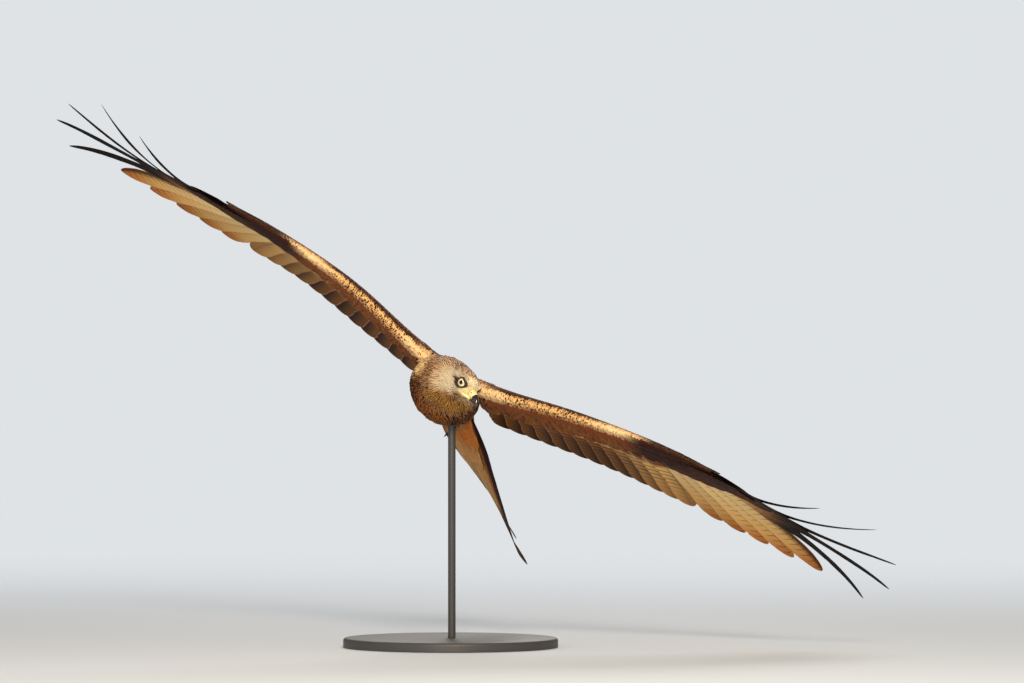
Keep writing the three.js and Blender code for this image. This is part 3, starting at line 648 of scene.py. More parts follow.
def with_eye_sockets(points):
    """Sinks the skin round each eye below the eyeball's front."""
    on_head = in_head(points)
    near = (np.abs(on_head[:, 0]) > FACE_SIDE) & (np.linalg.norm(on_head, axis=1) < HEAD_REACH)
    off = np.hypot(on_head[:, 1] - EYE[1], on_head[:, 2] - EYE[2])
    depth = SOCKET_DEPTH * (1 - smoothstep(off, 6.5, 10.5)) * near
    on_head[:, 0] -= np.sign(on_head[:, 0]) * depth
    return set_on_head(on_head)


def oval_rings(table, inset, front_share, count, sides):
    """Upright ovals through a table of places, half widths, half heights and middles, set in by the coat."""
    columns = np.array(table, float).T
    width, height, middle = (curve_through(np.stack([columns[0], c], 1)) for c in columns[1:])
    return [ring((0, y, middle(y)), (width(y) - inset, 0, 0), (0, 0, height(y) - inset), sides)
            for y in np.linspace(table[0][0] + front_share * inset, table[-1][0] - inset, count)]


def wing_surface(side):
    """Height of a wing's middle surface over the bird's own level."""
    def height(x, y):
        front = LEADING_LINE(x)
        t = np.clip((y - front) / (TRAILING_LINE(x) - front), 0, 1.15)
        rise = LEADING_RISE(x) * (1 - t) + TRAILING_RISE(x) * t
        twisted = WING_TWIST[side] * (t - 0.3) * smoothstep(x, 200, 400)
        arched = ARM_LIFT[side] * np.sin(math.pi * np.minimum(1, np.asarray(x) / 480))
        return rise + twisted + arched + WING_CAMBER * 4 * t * (1 - np.minimum(t, 1))
    return height


def half_thickness(share, thickness):
    """Half thickness of a rounded wing section at a share of its chord."""
    s = np.clip(share, 0, 1)
    shape = 1.4845 * np.sqrt(s) - 0.63 * s - 1.758 * s ** 2 + 1.4215 * s ** 3 - 0.478 * s ** 4
    return np.maximum(shape, 0) * thickness


def wing_rings(side, inset):
    surface = wing_surface(side)
    shares = (np.cos(np.linspace(math.pi, 0, 15)) + 1) / 2
    rings = []
    for x in np.linspace(FLESH_REACH[0] - 6, FLESH_REACH[1] - inset, 60):
        chord = FLESH_CHORD(x) - 2 * inset
        y = LEADING_LINE(x) + inset + shares * chord
        half = np.maximum(half_thickness(shares, FLESH_THICKNESS(x)) - inset, 0.8)
        half[0] = 0.0
        upper = np.stack([np.full_like(y, x), y, surface(x, y) + half], 1)
        lower = np.stack([np.full_like(y, x), y, surface(x, y) - half], 1)
        rings.append(np.concatenate([upper, lower[:0:-1]]))
    if side == "right":
        rings = [r * (-1, 1, 1) for r in rings]
    return rings


def tail_shear(y):
    """The slope across the tail that takes up its twist where it meets the trunk."""
    return TAIL_UNTWIST * np.maximum(0, 1 - y / TAIL_UNTWIST_LENGTH)


def tail_surface(x, y):
    """Height of the tail's middle surface in its own frame."""
    t = y / TAIL_LENGTH["outer"]
    return TAIL_BOW * (t * t - t) + TAIL_TIP_RISE * t * t + tail_shear(y) * x


def tail_rings(inset):
    path = [(3, -30, 4), (2, 10, -5), (1, 45, -9), (0, 76, -10)]
    rings = rod_rings(path, [30 - inset, 28 - inset, 21 - inset, 5], 28, 30, 0.72)
    sheared = []
    for points in rings:
        points = points.copy()
        points[:, 2] += tail_shear(points[:, 1]) * points[:, 0]
        sheared.append(moved(TAIL, points))
    return sheared


def thigh_rings(side, inset):
    path = [(side * 26, 20, -44), (side * 28, 48, -50), (side * 31, 76, -43)]
    return rod_rings(path, [16 - inset, 14 - inset, 8 - inset], 24, 16)


def fused(parts, voxel, rounds):
    """Points and quads of one closed surface over overlapping closed parts, smoothed where they meet."""
    holder = new_object("raw", mesh_of("raw", *merged(parts)), [])
    remesh = holder.modifiers.new("fuse", "REMESH")
    remesh.mode = "VOXEL"
    remesh.voxel_size = voxel
    remesh.adaptivity = 0.0
    relax = holder.modifiers.new("relax", "SMOOTH")
    relax.factor = 0.5
    relax.iterations = rounds
    made = holder.evaluated_get(bpy.context.evaluated_depsgraph_get()).to_mesh()
    points = np.empty(len(made.vertices) * 3, np.float32)
    made.vertices.foreach_get("co", points)
    faces = np.empty(len(made.loops), np.int32)
    made.loops.foreach_get("vertex_index", faces)
    points, faces = points.reshape(-1, 3).astype(float), faces.reshape(-1, 4)
    bpy.data.objects.remove(holder)
    return points, faces


def quad_crosses(points, quads):
    """The crossed diagonals of quads: along their normals, and twice as long as their areas."""
    a, b, c, d = (points[quads[:, k]] for k in range(4))
    return np.cross(c - a, d - b)


def point_normals(points, faces):
    made = np.zeros_like(points)
    cross = quad_crosses(points, faces)
    for k in range(4):
        np.add.at(made, faces[:, k], cross)
    return unit(made)


skin_points, skin_faces = fused([
    lofted(oval_rings(TRUNK, COAT_DEPTH["trunk"], 1.0, 40, 48)),
    lofted(rod_rings(NECK, [r - COAT_DEPTH["neck"] for r in NECK_RADII], 40, 20, 0.96)),
    lofted([set_on_head(r) for r in oval_rings(SKULL, COAT_DEPTH["head"], 0.4, 26, 36)]),
    *[lofted(wing_rings(side, COAT_DEPTH["wing"])) for side in ("left", "right")],
    lofted(tail_rings(COAT_DEPTH["tail"])),
    *[lofted(thigh_rings(side, COAT_DEPTH["thigh"])) for side in (1, -1)],
    *[lofted(brow_rings(side)) for side in (1, -1)],
], voxel=2.0, rounds=4)
skin_points = with_eye_sockets(skin_points)
skin_normals = point_normals(skin_points, skin_faces)
skin_tree = BVHTree.FromPolygons(skin_points.tolist(), skin_faces.tolist())


def unwrapped(points):
    """Places on an unwrap of the body: the head round its own axis, the rest round the trunk's."""
    on_head = in_head(points)
    x, y, z = points.T
    side, back, up = on_head.T
    trunk = np.stack([np.arctan2(x, -(z + 15)) / (2 * math.pi) + 0.5, (y + 130) / 560], 1)
    head = np.stack([np.arctan2(side, -up) / (2 * math.pi) + 0.5, (back + 40) / 80], 1)
    is_head = np.linalg.norm(on_head, axis=1)[:, None] < 36
    return np.where(is_head, head * (0.46, 0.96) + (0.52, 0.02), trunk * (0.46, 0.96) + (0.02, 0.02))


# Small feathers laid over the skin

HEAD_BACK = -unit(np.array(HEAD_FORWARD))
NECK_BACK = np.array([-0.44, 0.88, -0.18])
TRUNK_BACK = np.array([0.0, 1.0, 0.0])
TAIL_BACK = TAIL[:3, 1]


def flow(points):
    """The way the feathers lie at places on the body: from the bill back over the neck to the tail."""
    from_head = np.linalg.norm(points - HEAD_PLACE, axis=-1)[..., None]
    y = points[..., 1:2]
    way = HEAD_BACK * (1 - smoothstep(from_head, 30, 58)) + NECK_BACK * smoothstep(from_head, 24, 48)
    way = way * (1 - smoothstep(y, -75, -35)) + TRUNK_BACK * smoothstep(y, -85, -45)
    return unit(way * (1 - smoothstep(y, 120, 175)) + TAIL_BACK * smoothstep(y, 115, 165))


# Feather length, width and spacing in mm with the rise of its tip, by region
COAT = {
    "face": (5.2, 1.8, 1.1, 0.6),
    "head": (10.0, 3.0, 1.6, 1.2),
    "neck": (20.0, 4.2, 2.25, 1.8),
    "front": (27.0, 7.0, 4.1, 2.4),
    "trunk": (33.0, 12.5, 7.4, 4.0),
    "thigh": (20.0, 7.5, 5.0, 2.4),
    "rump": (44.0, 15.0, 8.6, 3.0),
}
WIDEST_GAP = 9


def region_of(points):
    """The coat region at each place on the skin; wing and tail have rows of their own."""
    on_head = in_head(points)
    from_head = np.linalg.norm(on_head, axis=1)
    x, y, z = points.T
    region = np.full(len(points), "trunk", dtype=object)
    region[y < 10] = "front"
    region[y > 112] = "rump"
    region[(from_head < 75) & (y < -45)] = "neck"
    region[from_head < HEAD_REACH] = "head"
    region[(np.hypot(on_head[:, 1] + 14, on_head[:, 2] + 2) < 15) & (from_head < HEAD_REACH)] = "face"
    region[(np.abs(np.abs(x) - 29) < 16) & (z < -38) & (y > 15) & (y < 100)] = "thigh"
    region[np.abs(x) > 74] = "rows"
    region[moved(TAIL_INVERSE, points)[:, 1] > 26] = "rows"
    return region


def near_eye(points, margin):
    on_head = in_head(points)
    on_head[:, 0] = np.abs(on_head[:, 0])
    return np.linalg.norm(on_head - EYE, axis=1) < EYE_RADIUS + margin


def near_bill(points):
    on_head = in_head(points)
    return (on_head[:, 1] < -27.5) & (np.hypot(on_head[:, 0], on_head[:, 2] + 7) < 9)


def scattered_roots():
    """Places on the skin no closer to one another than their region's spacing, with the region of each."""
    corners = skin_points[skin_faces]
    area = np.linalg.norm(quad_crosses(skin_points, skin_faces), axis=1) / 2
    region = region_of(corners.mean(1))
    density = np.array([0 if r == "rows" else 1 / COAT[r][2] ** 2 for r in region])
    weight = area * density
    count = int(weight.sum() * 4)
    picked = chance.choice(len(area), count, p=weight / weight.sum())
    mix = chance.dirichlet((1, 1, 1, 1), count)
    places = np.einsum("ij,ijk->ik", mix, corners[picked])
    kept, cells = [], {}
    for place, kind in zip(places, region[picked]):
        gap = COAT[kind][2]
        cell = tuple((place // WIDEST_GAP).astype(int))
        near = [kept[j] for dx in (-1, 0, 1) for dy in (-1, 0, 1) for dz in (-1, 0, 1)
                for j in cells.get((cell[0] + dx, cell[1] + dy, cell[2] + dz), ())]
        if all(sum((place[k] - q[k]) ** 2 for k in range(3)) > gap * gap for q in near):
            cells.setdefault(cell, []).append(len(kept))
            kept.append((*place, kind))
    return np.array([k[:3] for k in kept]), np.array([k[3] for k in kept], dtype=object)


def on_skin(points, slack=None, old_normals=None):
    """Nearest places on the skin with their normals; a point farther off than slack stays where it is."""
    found = [skin_tree.find_nearest(Vector(p)) for p in points.reshape(-1, 3)]
    places = np.array([f[0] for f in found]).reshape(points.shape)
    normals = np.array([f[1] for f in found]).reshape(points.shape)
    if slack is not None:
        off = (np.linalg.norm(places - points, axis=-1) > slack)[..., None]
        places = np.where(off, points, places)
        normals = np.where(off, old_normals, normals)
    return places, normals


def lance(share):
    """Width of a hackle along its length: broadest low down and drawn out to a soft point."""
    body = 0.4 + 0.6 * np.sin(np.minimum(share / 0.5, 1) * math.pi / 2)
    return body * np.maximum(1 - np.clip((share - 0.4) / 0.6, 0, 1) ** 1.7, 0.06)


def leaf(share):
    """Width of a small feather along its length: slim at the root, broad, and round at the tip."""
    body = 0.35 + 0.65 * np.sin(np.minimum(share / 0.62, 1) * math.pi / 2)
    return body * np.sqrt(np.maximum(1 - np.clip((share - 0.62) / 0.38, 0, 1) ** 2.4, 0.02))


def small_feathers(roots, length, width, rise, rows, columns, outline):
    """Grids of points and normals of feathers laid over the skin from their roots."""
    count = len(roots)
    stations = np.linspace(0, 1, rows)
    centre, normal = on_skin(roots)
    way = unit(flow(centre) + chance.normal(0, 0.08, (count, 3)))
    curl = CURL * np.sin(roots @ CURL_WAVE)[:, None] + chance.normal(0, 0.04, (count, 1))
    centres, normals, ways = [], [], []
    for _ in range(rows):
        way = unit(way - (way * normal).sum(1, keepdims=True) * normal)
        centres.append(centre)
        normals.append(normal)
        ways.append(way)
        centre, normal = on_skin(centre + way * (length / (rows - 1))[:, None], STIFF_SLACK, normal)
        way = unit(0.6 * way + 0.4 * flow(centre) + curl * np.cross(way, normal))
    centres, normals, ways = (np.stack(a, 1) for a in (centres, normals, ways))
    across = np.cross(ways, normals)
    shares = np.linspace(-1, 1, columns)
    half = width[:, None] / 2 * outline(stations)
    uneven = 1 + chance.normal(0, 0.05, (count, rows, columns)) * np.abs(shares)
    lateral = (half[:, :, None] * shares * uneven)[..., None]
    frayed = chance.normal(0, 0.05, (count, rows, columns)) * length[:, None, None] * stations[:, None] ** 3
    spread = centres[:, :, None] + across[:, :, None] * lateral + ways[:, :, None] * frayed[..., None]
    places, facing = on_skin(spread, STIFF_SLACK, np.broadcast_to(normals[:, :, None], spread.shape))
    own = chance.uniform(0.75, 1.25, count)[:, None, None]
    roof = (1 - shares ** 2) * 0.10 * half[:, :, None]
    height = ROOT_LIFT + rise[:, None, None] * own * stations[:, None] ** 0.9 + roof
    return places + facing * height[..., None], facing, half


def add_small(coat, grid, facing, half, length, markings, mark_change):
    """Adds feathers that share one grid size to a coat."""
    count, rows, columns = grid.shape[:3]
    low = grid - facing * SMALL_THICKNESS
    points = np.stack([grid, low], 1).reshape(-1, 3)
    across = np.broadcast_to(np.linspace(-1, 1, columns), (count, 2, rows, columns))
    along = np.broadcast_to(np.linspace(0, 1, rows)[:, None], across.shape)
    own = np.broadcast_to(chance.uniform(0, 1, count)[:, None, None, None], across.shape)
    share = np.stack([across, along, own], -1).reshape(-1, 3)
    long = length[:, None, None, None]
    widest = half.max(1)[:, None, None, None]
    rim = np.minimum((1 - np.abs(across)) * widest, (1 - along) * long)
    span = np.stack([across * half[:, None, :, None], along * long, rim], -1).reshape(-1, 3)
    size = 2 * rows * columns
    quads = (grid_quads(rows, columns) + (np.arange(count) * size)[:, None, None]).reshape(-1, 4)
    least, most, start_spread = mark_change
    marks = markings.copy()
    marks[:, 3] *= chance.uniform(least, most, count)
    marks[:, 11] += chance.normal(0, start_spread, count)
    roots = unwrapped(grid[:, 0, columns // 2])
    spot = np.stack([across * 0.5, along - 0.5], -1) * PATCH
    patch = (roots[:, None, None, None] + spot).reshape(-1, 2)
    coat.add(points, quads, share, span, np.repeat(marks, size, axis=0), patch)


def clear_of_eyes(start, length, width, rise, rows, columns, outline):
    """Lengths of the head's feathers, cut short before the eyelids, and 0 where none has room."""
    length = length.copy()
    reaching = np.arange(len(start))
    for share in (1.0, 0.6, 0.35):
        tried = length[reaching] * share
        grid, _, _ = small_feathers(start[reaching], tried, width[reaching], rise[reaching],
                                    rows, columns, outline)
        touches = near_eye(grid.reshape(-1, 3), LID_CLEARANCE).reshape(len(grid), -1).any(1)
        length[reaching[~touches]] = tried[~touches]
        reaching = reaching[touches]
    length[reaching] = 0
    return length


def clothe_body():
    """Lays the small feathers of head, neck, trunk, thighs and rump over the skin."""
    roots, regions = scattered_roots()
    clear = ~near_eye(roots, 1.2) & ~near_bill(roots)
    roots, regions = roots[clear], regions[clear]
    pieces = {
        "plumage_head": (("face", "head"), 6, 3, lance, ("head",)),
        "plumage_neck": (("neck",), 7, 5, lance, ("neck",)),
        "plumage_front": (("front",), 8, 5, lance, ()),
        "plumage_trunk": (("trunk", "rump"), 7, 7, leaf, ("torso",)),
        "plumage_thighs": (("thigh",), 6, 5, leaf, ()),
    }
    slots = {"plumage_front": "plumage_trunk", "plumage_thighs": "plumage_thigh"}
    for name, (kinds, rows, columns, outline, replaced) in pieces.items():
        chosen = np.isin(regions.astype(str), kinds)
        start = roots[chosen]
        sizes = np.array([COAT[r] for r in regions[chosen]])
        vary = chance.uniform(0.85, 1.15, len(start))
        length, width, rise = sizes[:, 0] * vary, sizes[:, 1] * vary, sizes[:, 3]
        if name == "plumage_head":
            length = clear_of_eyes(start, length, width, rise, rows, columns, outline)
            start, length, width, rise = (a[length > 0] for a in (start, length, width, rise))
        grid, facing, half = small_feathers(start, length, width, rise, rows, columns, outline)
        off = np.linalg.norm(on_skin(grid)[0] - grid, axis=-1)
        lying = off.reshape(len(grid), -1).max(1) < STRAY_LIMIT
        start, length, grid, facing, half = (a[lying] for a in (start, length, grid, facing, half))
        coat = Coat()
        add_small(coat, grid, facing, half, length, body_markings(*on_skin(start)), BODY_MARKS)
        coat.finish(name, slots.get(name, name), contour_vane, replaced)


# Flight feathers

def body_width(stops, tip_share, roundness=2.2):
    """Width of a flight feather along its length, closed by a round tip over its last share."""
    curve = curve_through(stops)

    def width(s):
        end = np.clip((s - 1 + tip_share) / tip_share, 0, 1)
        return curve(s) * np.maximum(1 - end ** roundness, 0.0) ** 0.5
    return width


ROUND_ENDED = body_width([(0, 0.12), (0.2, 0.9), (0.35, 1), (1, 1)], 0.17)
COVERT_ENDED = body_width([(0, 0.15), (0.25, 0.9), (0.45, 1), (1, 0.95)], 0.28)
WIDENING = body_width([(0, 0.1), (0.2, 0.55), (0.45, 1), (0.8, 1), (1, 0.86)], 0.2)


def notch_of(number):
    """Where along a finger feather its vane narrows."""
    return 0.56 - 0.035 * (number - FIRST_FINGER)


def finger(number):
    notch = notch_of(number)
    return body_width([(0, 0.1), (0.2, 0.6), (notch - 0.08, 1), (notch + 0.08, 0.5), (0.8, 0.36),
                       (0.93, 0.2), (1, 0.12)], 0.06)


def lerp(a, b, t):
    """The value a share t of the way from a to b."""
    return a + (b - a) * t


def vane_root(x):
    """Root of a flight feather, halfway back in the flesh."""
    return x, LEADING_LINE(x) + 0.5 * FLESH_CHORD(x)


# What a plan leaves out: the bow of the shaft, the lift of the whole feather and of its end, how far and
# from where it bends up, the slope of the vane and of its tip, and how much its edges droop
PLAIN_PLAN = dict(bow=0, lift=0, landing=0, bend=0, bend_from=0.4, tilt=VANE_TILT, tip_tilt=0,
                  droop=VANE_DROOP)


def secondary_plans():
    plans = []
    for i in range(SECONDARY_COUNT):
        t = i / (SECONDARY_COUNT - 1)
        tip = lerp(*SECONDARY_TIPS, t)
        plans.append(dict(root=vane_root(lerp(*SECONDARY_ROOTS, t)), tip=(tip, TRAILING_LINE(tip)), bow=5,
                          outer=19, inner=27, width=ROUND_ENDED, group="secondary", order=t))
    return plans


def tertial_plans():
    plans = []
    for i in range(TERTIAL_COUNT):
        tip = 80 - 10 * i
        plans.append(dict(root=vane_root(68 - 2 * i), tip=(tip, TRAILING_LINE(tip) - 12 - 22 * i), bow=2,
                          outer=18, inner=20, width=ROUND_ENDED, lift=1.2 * (i + 1),
                          group="tertial", order=0))
    return plans


def primary_plans(side):
    plans = []
    for i, (tip_x, tip_y) in enumerate(PRIMARY_TIPS):
        plan = dict(
            root=vane_root(lerp(*PRIMARY_ROOTS, i / 9)), bow=7, lift=-0.9 - PRIMARY_DROP * i,
            tip=(WRIST_REACH + (tip_x - WRIST_REACH) * HAND_STRETCH[side], tip_y),
            bend=PRIMARY_BEND[i] * BEND_SHARE[side], outer=20, inner=32, width=WIDENING, group="primary",
            order=i / 9)
        if i + 1 >= FIRST_FINGER:
            plan.update(outer=11 if i == 9 else 17, inner=31, width=finger(i + 1),
                        tip_tilt=FINGER_TILT[side][i + 1 - FIRST_FINGER])
        plans.append(plan)
    return plans


def covert_plans(flight, face, shares):
    """Greater coverts over (1) or under (-1) the flight feathers, one to each."""
    plans = []
    for plan in flight:
        root, tip = np.array(plan["root"]), np.array(plan["tip"])
        length = np.hypot(*(tip - root))
        reach = min(shares[face] * length, LONGEST_COVERT)
        plans.append(dict(
            root=root, tip=root + (tip - root) * reach / length, bow=2, outer=0.5 * shares["width"],
            inner=0.58 * shares["width"], width=COVERT_ENDED, landing=-face * COVERT_LANDING,
            lift=plan.get("lift", 0) + face * COVERT_GAP[face], group="covert_" + plan["group"],
            order=plan["order"]))
    return plans


def alula_plans():
    plans = []
    for i in range(3):
        tip = 458 - 16 * i
        plans.append(dict(root=(366 + 4 * i, LEADING_LINE(366) + 17 + 3 * i),
                          tip=(tip, LEADING_LINE(tip) + 3 + 5 * i), bow=3, outer=7, inner=11, tilt=0,
                          width=ROUND_ENDED, lift=3.4 + 1.3 * i, group="alula", order=i / 2))
    return plans


def tail_plans():
    plans = []
    for pair in range(TAIL_PAIRS):
        t = pair / (TAIL_PAIRS - 1)
        length = lerp(TAIL_LENGTH["middle"], TAIL_LENGTH["outer"], t ** TAIL_FORK_DEPTH)
        angle = math.radians(TAIL_HALF_FAN) * (0.12 + 0.88 * t)
        for side, outer, inner, drop in ((1, 18, 27, 0), (-1, 27, 18, TAIL_STEP / 2)):
            root = (side * (2 + 20 * t), 2)
            plans.append(dict(
                root=root, tip=(root[0] + side * length * math.sin(angle), length * math.cos(angle)),
                bow=side * 4 * t, outer=outer, inner=inner, width=ROUND_ENDED, tilt=0, droop=0.0002,
                lift=TAIL_STEP * (TAIL_PAIRS - 1 - pair) - drop, bend_from=0.75,
                bend=7 if side > 0 and pair == TAIL_PAIRS - 2 else 0, group="tail", order=t, side=side))
    return plans


def flight_feather(plan, surface):
    """Upper and lower points of a flight feather, its place numbers and the line of its shaft."""
    plan = {**PLAIN_PLAN, **plan}
    s = 1 - (1 - np.linspace(0, 1, ROWS)) ** 1.5
    c = np.sin(np.linspace(-1, 1, COLUMNS) * math.pi / 2)
    root, tip = np.array(plan["root"], float), np.array(plan["tip"], float)
    run = tip - root
    length = np.hypot(*run)
    side = np.array([run[1], -run[0]]) / length
    middle = root + run * s[:, None] + side * (plan["bow"] * 4 * s * (1 - s))[:, None]
    # Wear: wavy edges with a few nicks, and whole ones near the tip
    worn = chance.normal(0, 0.022, (ROWS + 4, 2))
    worn = 0.99 - np.abs(sum(worn[k:k + ROWS] for k in range(5))) / 2
    nick = chance.random((ROWS, 2)) < 0.02
    worn = np.where(nick, worn - chance.uniform(0.04, 0.14, (ROWS, 2)), worn)
    worn[s > 0.93] = np.maximum(worn[s > 0.93], 0.96)
    widest = np.where(c > 0, plan["outer"], plan["inner"])
    fade = np.abs(c) ** 3
    lateral = c * widest * plan["width"](s)[:, None]
    lateral = lateral * (1 - fade + fade * np.where(c > 0, worn[:, :1], worn[:, 1:]))
    x, y = (middle[:, None, :] + side * lateral[..., None]).transpose(2, 0, 1)
    settled = 0.3 + 0.7 * smoothstep(s, 0, 0.2)
    bent = plan["bend"] * np.maximum(0, (s - plan["bend_from"]) / (1 - plan["bend_from"])) ** 1.8
    tilt = plan["tilt"] + plan["tip_tilt"] * smoothstep(s, 0.5, 0.8)
    landed = plan["landing"] * smoothstep(s, 0.3, 1)
    z = surface(x, y) + (settled * plan["lift"] + landed + bent)[:, None] + tilt[:, None] * lateral
    z = z - plan["droop"] * lateral ** 2
    thick = 0.34 - 0.24 * c ** 2
    upper, lower = (np.stack([x, y, z + face * thick / 2], -1) for face in (1, -1))
    across = np.broadcast_to(c, z.shape)
    along = np.broadcast_to(s[:, None], z.shape)
    rim = np.minimum((1 - np.abs(across)) * widest, (1 - along) * length)
    share = np.stack([across, along, np.full(z.shape, chance.random())], -1)
    span = np.stack([lateral, along * length, rim], -1)
    line = np.stack([*middle.T, z[:, COLUMNS // 2]], 1)
    return upper, lower, share, span, line, s, length


def shaft(line, s, thickness):
    """A tapering shaft along a feather's middle."""
    along = unit(np.gradient(line, axis=0))
    across = unit(np.cross(along, (0, 0, 1.0)))
    up = np.cross(across, along)
    radius = thickness * (1 - 0.86 * s)
    turns = np.linspace(0, 2 * math.pi, SHAFT_SIDES, endpoint=False)[:, None]
    out = across[:, None] * np.cos(turns) + up[:, None] * np.sin(turns) * 0.9
    points = line[:, None] + out * radius[:, None, None]
    return points.reshape(-1, 3), tube_quads(len(line), SHAFT_SIDES)


def ramp(stops, values):
    """Colours along a row of (place, hex colour) stops."""
    places = [p for p, _ in stops]
    colours = np.array([linear(c) for _, c in stops])
    return np.stack([np.interp(values, places, colours[:, k]) for k in range(3)], -1)


def packed(ground, bars, mark, fringe, edge, thin=0.0):
    """Markings of a flight feather per point: ground, strength and colour of bars, edge, thinness of bars."""
    ones = np.ones(ground.shape[:-1] + (1,))
    bars, fringe = (ones * np.asarray(a)[..., None] for a in (bars, fringe))
    return np.concatenate([ground, bars, linear(mark) * ones, fringe, linear(edge) * ones, thin * ones], -1)


def primary_marks(plan, share, under):
    c, s = share[..., 0], share[..., 1]
    number = round(plan["order"] * 9) + 1
    if number < FIRST_FINGER:
        if under:
            ground = ramp([(0, "f0d6a2"), (0.5, "ecc88a"), (0.78, "dfae66"), (0.92, "c07a3c"),
                           (1, "a86630")], s)
            ground = blended(ground, "a87844", smoothstep(c, 0.0, 0.9) * 0.5)
            edge_shade = smoothstep(c, -0.1, 0.4) * smoothstep(s, 0.42, 0.62) * (number == FIRST_FINGER - 1)
            ground = blended(ground, "3c1d14", 0.9 * edge_shade)
            bars = 0.85 * smoothstep(s, 0.2, 0.4)
            return packed(ground, bars, "3a2012", 1.6, "d9965a", 1.0)
        ground = ramp([(0, "6b4a32"), (0.5, "4a3426"), (1, "33251d")], s)
        return packed(ground, 0.5, "231812", 1.2, "8a6242")
    notch = notch_of(number)
    if under:
        light = ramp([(0, "d9b073"), (0.6, "c4924f"), (0.9, "6b442a"), (1, "33211a")], s / notch)
        dark = "3a2420"
        ground = blended(light, dark, smoothstep(c, -0.35, 0.25))
        ground = blended(ground, "17110f", smoothstep(s, notch - 0.16, notch + 0.06))
        ground = blended(ground, dark, 0.85 * (number > 8) * (1 - smoothstep(s, notch - 0.1, notch + 0.1)))
        bars = 0.6 * (1 - smoothstep(s, notch - 0.12, notch))
        return packed(ground, bars, "2a1a14", 0.5, "1c1210", 0.8)
    ground = ramp([(0, "4a3527"), (1, "2c211b")], s)
    ground = blended(ground, "14100e", smoothstep(s, notch - 0.1, notch + 0.1))
    return packed(ground, 0.3, "15100d", 0.4, "2c221c")


def secondary_marks(plan, share, under):
    c, s = share[..., 0], share[..., 1]
    if under:
        outward = float(smoothstep(plan["order"], 0.62, 1.0))
        base = ramp([(0, "c47c3a"), (0.5, "a2642c"), (0.66, "7c4e24"), (1, "62401c")], s)
        pale = ramp([(0, "ecc88a"), (0.6, "dcae6a"), (1, "b07a44")], s)
        ground = blended(base, pale, outward)
        # Darker towards the shaft past mid length, where the neighbour overlaps: partly the vane's own darker
        # tone, partly painted shade
        shade = smoothstep(c, -0.65, -0.1) * smoothstep(s, 0.45, 0.7) * (1 - 0.6 * outward)
        ground = blended(ground, "2c160c", shade)
        bars = (0.75 - 0.25 * outward) * (1 - 0.75 * smoothstep(s, 0.66, 0.86))
        return packed(ground, bars, "33211a", 1.8, "b07a4c")
    ground = ramp([(0, "6b4a32"), (0.6, "3e2c22"), (1, "30231c")], s)
    return packed(ground, 0.5, "211712", 1.4, "93704f")


def tertial_marks(plan, share, under):
    ground = ramp([(0, "5a4030"), (1, "4a372b")], share[..., 1])
    return packed(ground, 0.25, "2a1d16", 2.0, "a08060")


def covert_marks(plan, share, under):
    c, s = share[..., 0], share[..., 1]
    hand = plan["group"] == "covert_primary"
    if under and hand:
        ground = ramp([(0, "4a261a"), (0.6, "4c281a"), (1, "5f3624")], s)
        ground = blended(ground, "241310", 0.4 * plan["order"] + smoothstep(c, -0.2, 0.6) * 0.4)
        return packed(ground, 0.35, "180f0c", 0.7, "5f4432")
    if under:
        ground = ramp([(0, "9a5c28"), (0.6, "824e22"), (0.86, "6c4220"), (0.95, "c89458"),
                       (1, "dcb47c")], s)
        ground = blended(ground, "96703c", smoothstep(-c, 0.4, 0.9) * 0.6)
        return packed(ground, 0.4 * (1 - smoothstep(s, 0.6, 0.9)), "33200f", 1.6, "d8b078")
    if hand:
        ground = ramp([(0, "3a2a22"), (1, "2a201b")], s)
        return packed(ground, 0.2, "1a1410", 0.9, "5f4836")
    ground = ramp([(0, "5a4231"), (0.7, "3f2f25"), (1, "4a382b")], s)
    return packed(ground, 0.35, "241a14", 1.8, "a88763")


def alula_marks(plan, share, under):
    ground = ramp([(0, "33241d"), (1, "1e1613")], share[..., 1])
    return packed(ground, 0.15, "14100e", 0.5, "4a382c")


def tip_black(s, order):
    """Share of the black at the ends of the tail feathers, which reaches far up the outermost pair."""
    start = 0.84 - 0.24 * float(smoothstep(order, 0.8, 1.0))
    return smoothstep(s, start, start + 0.12) * float(smoothstep(order, 0.5, 0.8))


def tail_marks(plan, share, under):
    c, s = share[..., 0] * plan["side"], share[..., 1]
    # Dark outer vanes and rims of the outer pair: partly their own colour, partly painted shade, so the left
    # feather is darker than the right one
    outermost = float(smoothstep(plan["order"], 0.8, 1.0)) * (1.0 if plan["side"] > 0 else 0.45)
    if under:
        ground = ramp([(0, "cc7428"), (0.3, "cf8e48"), (0.65, "c99a60"), (1, "c0935c")], s)
        ground = blended(ground, "3e140d", outermost * smoothstep(c, -0.55, 0.05))
        ground = blended(ground, "170b0b", outermost * smoothstep(c, 0.1, 0.6))
        ground = blended(ground, "140c0b", tip_black(s, plan["order"]))
        bars = 0.3 * smoothstep(s, 0.25, 0.5) * (1 - 0.6 * outermost)
        rim = blended("d8a868", "1c100c", outermost)
        return packed(ground, bars, "5a3a22", 1.2, rim)
    ground = ramp([(0, "b5602a"), (0.7, "b3602c"), (1, "a5562a")], s)
    ground = blended(ground, "6e3a1e", outermost * smoothstep(c, 0.0, 0.5) * 0.7)
    ground = blended(ground, "140c0b", tip_black(s, plan["order"]))
    return packed(ground, 0.3 * smoothstep(s, 0.3, 0.6), "5a2c16", 1.8, "dfae78")


MARKS = {
    "primary": primary_marks, "secondary": secondary_marks, "tertial": tertial_marks, "alula": alula_marks,
    "covert_primary": covert_marks, "covert_secondary": covert_marks, "tail": tail_marks,
}
SHAFT_COLOURS = {
    "primary": "2a1d18", "secondary": "4a3426", "tertial": "4a3426", "alula": "1e1613",
    "covert_primary": "33231b", "covert_secondary": "4a3426", "tail": "7a4420",
}


